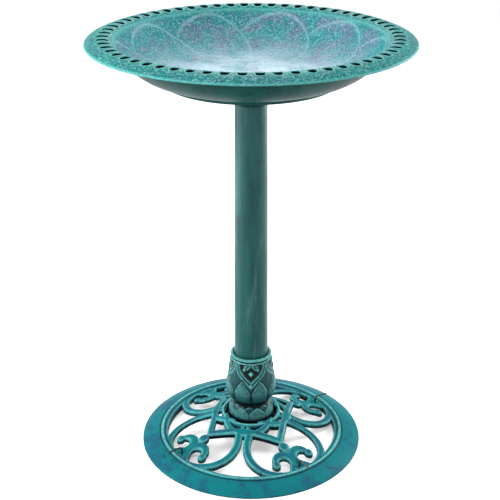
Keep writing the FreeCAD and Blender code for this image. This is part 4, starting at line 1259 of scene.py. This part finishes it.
def shaded_underside_finish():
    """Dark colour of the bowl's socket, which is painted shade under the bowl."""
    paint = Finish("bowl_underside", **DRY)
    place = paint.place()
    colour = mottle(paint, place, tint(18, 54, 50), tint(16, 42, 42), tint(8, 22, 24), 18)
    return paint.paint(Base_Color=colour, Roughness=paint.cloud(place, 8) * 0.2 + 0.34,
                       Normal=grain(paint, place, 2.2, 0.35, 0.4))


# %% [markdown]
# ## Finishes of the metal parts
#
# The fasteners are zinc-plated steel with a dull bloom. The pegs are dipped in black paint, which is
# glossy where it ran and thin where it was rubbed.

# %% Metal finishes
def zinc_finish():
    """Zinc plating on bolt, washer, nut and screws."""
    paint = Finish("zinc_steel", Metallic=1.0)
    place = paint.place()
    bloom = paint.cloud(place, 3, detail=4.0, roughness=0.7)
    colour = paint.mix(bloom.step(0.35, 0.7), tint(172, 172, 168), tint(132, 136, 138))
    return paint.paint(Base_Color=colour, Roughness=bloom * 0.35 + 0.28,
                       Normal=grain(paint, place, 0.8, 0.2, 0.1))


def wire_finish():
    """Black dipped wire."""
    paint = Finish("black_wire")
    place = paint.place()
    rubbed = paint.cloud(place, 4, detail=4.0, roughness=0.7).step(0.56, 0.72)
    colour = paint.mix(rubbed * 0.6, tint(14, 17, 18), tint(52, 58, 60))
    return paint.paint(Base_Color=colour, Roughness=0.3 + 0.3 * rubbed,
                       Normal=grain(paint, place, 1.2, 0.3, 0.15))


# %% [markdown]
# ## Joining skins to the frame
#
# Each skin rides on the CAD body that it belongs to, so it moves with it, and takes the place of
# the CAD node under it. CAD nodes that stay in view only get a finish.

# %% Dress the frame
FINISHES = {
    "bowl_verdigris": bowl_finish(), "bowl_underside": shaded_underside_finish(),
    "post_verdigris": post_finish(), "bud_verdigris": bud_finish(), "base_verdigris": base_finish(),
    "zinc_steel": zinc_finish(), "black_wire": wire_finish(),
}
SKINS = [
    (bowl, "bowl", "bowl", "bowl_verdigris"),
    (post, "post", "post", "post_verdigris"),
    (bud, "base", "bud_socket", "bud_verdigris"),
    (calyx, "base", "calyx_ring", "bud_verdigris"),
    (base, "base", "base", "base_verdigris"),
]
SKINS += [(pegs[side], f"peg_{side}", f"ground_peg_{side}", "black_wire") for side in pegs]


def dress(piece, name):
    """Give a piece its finish."""
    piece.data.materials.clear()
    piece.data.materials.append(FINISHES[name])


for piece, body, node, finish in SKINS:
    dress(piece, finish)
    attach(piece, body)
    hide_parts(node)
replaced = {node for _, _, node, _ in SKINS}
for part in frame["record"]["subparts"]:
    if part["node"] not in replaced:
        dress(frame["nodes"][part["node"]], part["material_slot"])
print("skins:", len(SKINS), "CAD nodes in view:", len(frame["nodes"]) - len(replaced))

# %% [markdown]
# ## Floor and light
#
# The bird bath stands in an even white room, on a plain pale floor that gives off a little light of
# its own. Two tall soft panels stand at its sides, one hangs above and in front, and one hangs above
# and behind.

# %% Floor and light
FLOOR_SIDE = 80.0


def make_floor():
    """A plain pale floor."""
    half = FLOOR_SIDE / 2
    mesh = bpy.data.meshes.new("floor")
    mesh.from_pydata([(-half, -half, 0), (half, -half, 0), (half, half, 0), (-half, half, 0)], [],
                     [(0, 1, 2, 3)])
    floor = bpy.data.objects.new("floor", mesh)
    bpy.context.scene.collection.objects.link(floor)
    paint = Finish("floor_paint", Roughness=0.9,
                   **{"Emission Color": (1, 1, 1, 1), "Emission Strength": 0.3})
    tone = paint.mix(paint.cloud(paint.place(), 90) * 0.3, tint(246, 246, 246), tint(252, 252, 252))
    mesh.materials.append(paint.paint(Base_Color=tone))


def softbox(name, place, aim, width, height, power):
    """A rectangular area light pointed at a spot."""
    lamp = bpy.data.lights.new(name, "AREA")
    lamp.shape = "RECTANGLE"
    lamp.size, lamp.size_y = width, height
    lamp.energy = power
    light = bpy.data.objects.new(name, lamp)
    light.location = place
    light.rotation_euler = (Vector(aim) - Vector(place)).to_track_quat("-Z", "Y").to_euler()
    bpy.context.scene.collection.objects.link(light)


def white_room(strength):
    """An even white world."""
    world = bpy.data.worlds.new("white_room")
    world.use_nodes = True
    background = world.node_tree.nodes["Background"]
    background.inputs["Color"].default_value = (1, 1, 1, 1)
    background.inputs["Strength"].default_value = strength
    bpy.context.scene.world = world


make_floor()
softbox("left_panel", (-1.8, -0.15, 0.9), (0, 0, 0.4), 0.7, 2.2, 62)
softbox("right_panel", (1.7, 0.9, 0.8), (0, 0, 0.4), 0.6, 2.2, 60)
softbox("top_panel", (0, -1.0, 2.3), (0, 0, 0.6), 0.9, 0.9, 16)
softbox("back_panel", (0, 2.3, 1.95), (0, 0, 0.66), 0.9, 1.1, 22)
white_room(0.7)
bpy.context.scene.view_settings.view_transform = "Standard"

# %% [markdown]
# ## Camera
#
# The camera stands in front and looks down at the bird bath by 24 degrees, so the basin and the
# openwork of the base are both in view.

# %% Camera
CAMERA_PLACE = (-0.0018, -1.636, 1.090)
CAMERA_TILT = 65.81
CAMERA_LENS = 78.84


def make_camera():
    """The main camera."""
    lens = bpy.data.cameras.new("main_camera")
    lens.lens = CAMERA_LENS
    camera = bpy.data.objects.new("main_camera", lens)
    camera.location = CAMERA_PLACE
    camera.rotation_euler = (math.radians(CAMERA_TILT), 0, 0)
    bpy.context.scene.collection.objects.link(camera)
    bpy.context.scene.camera = camera


make_camera()
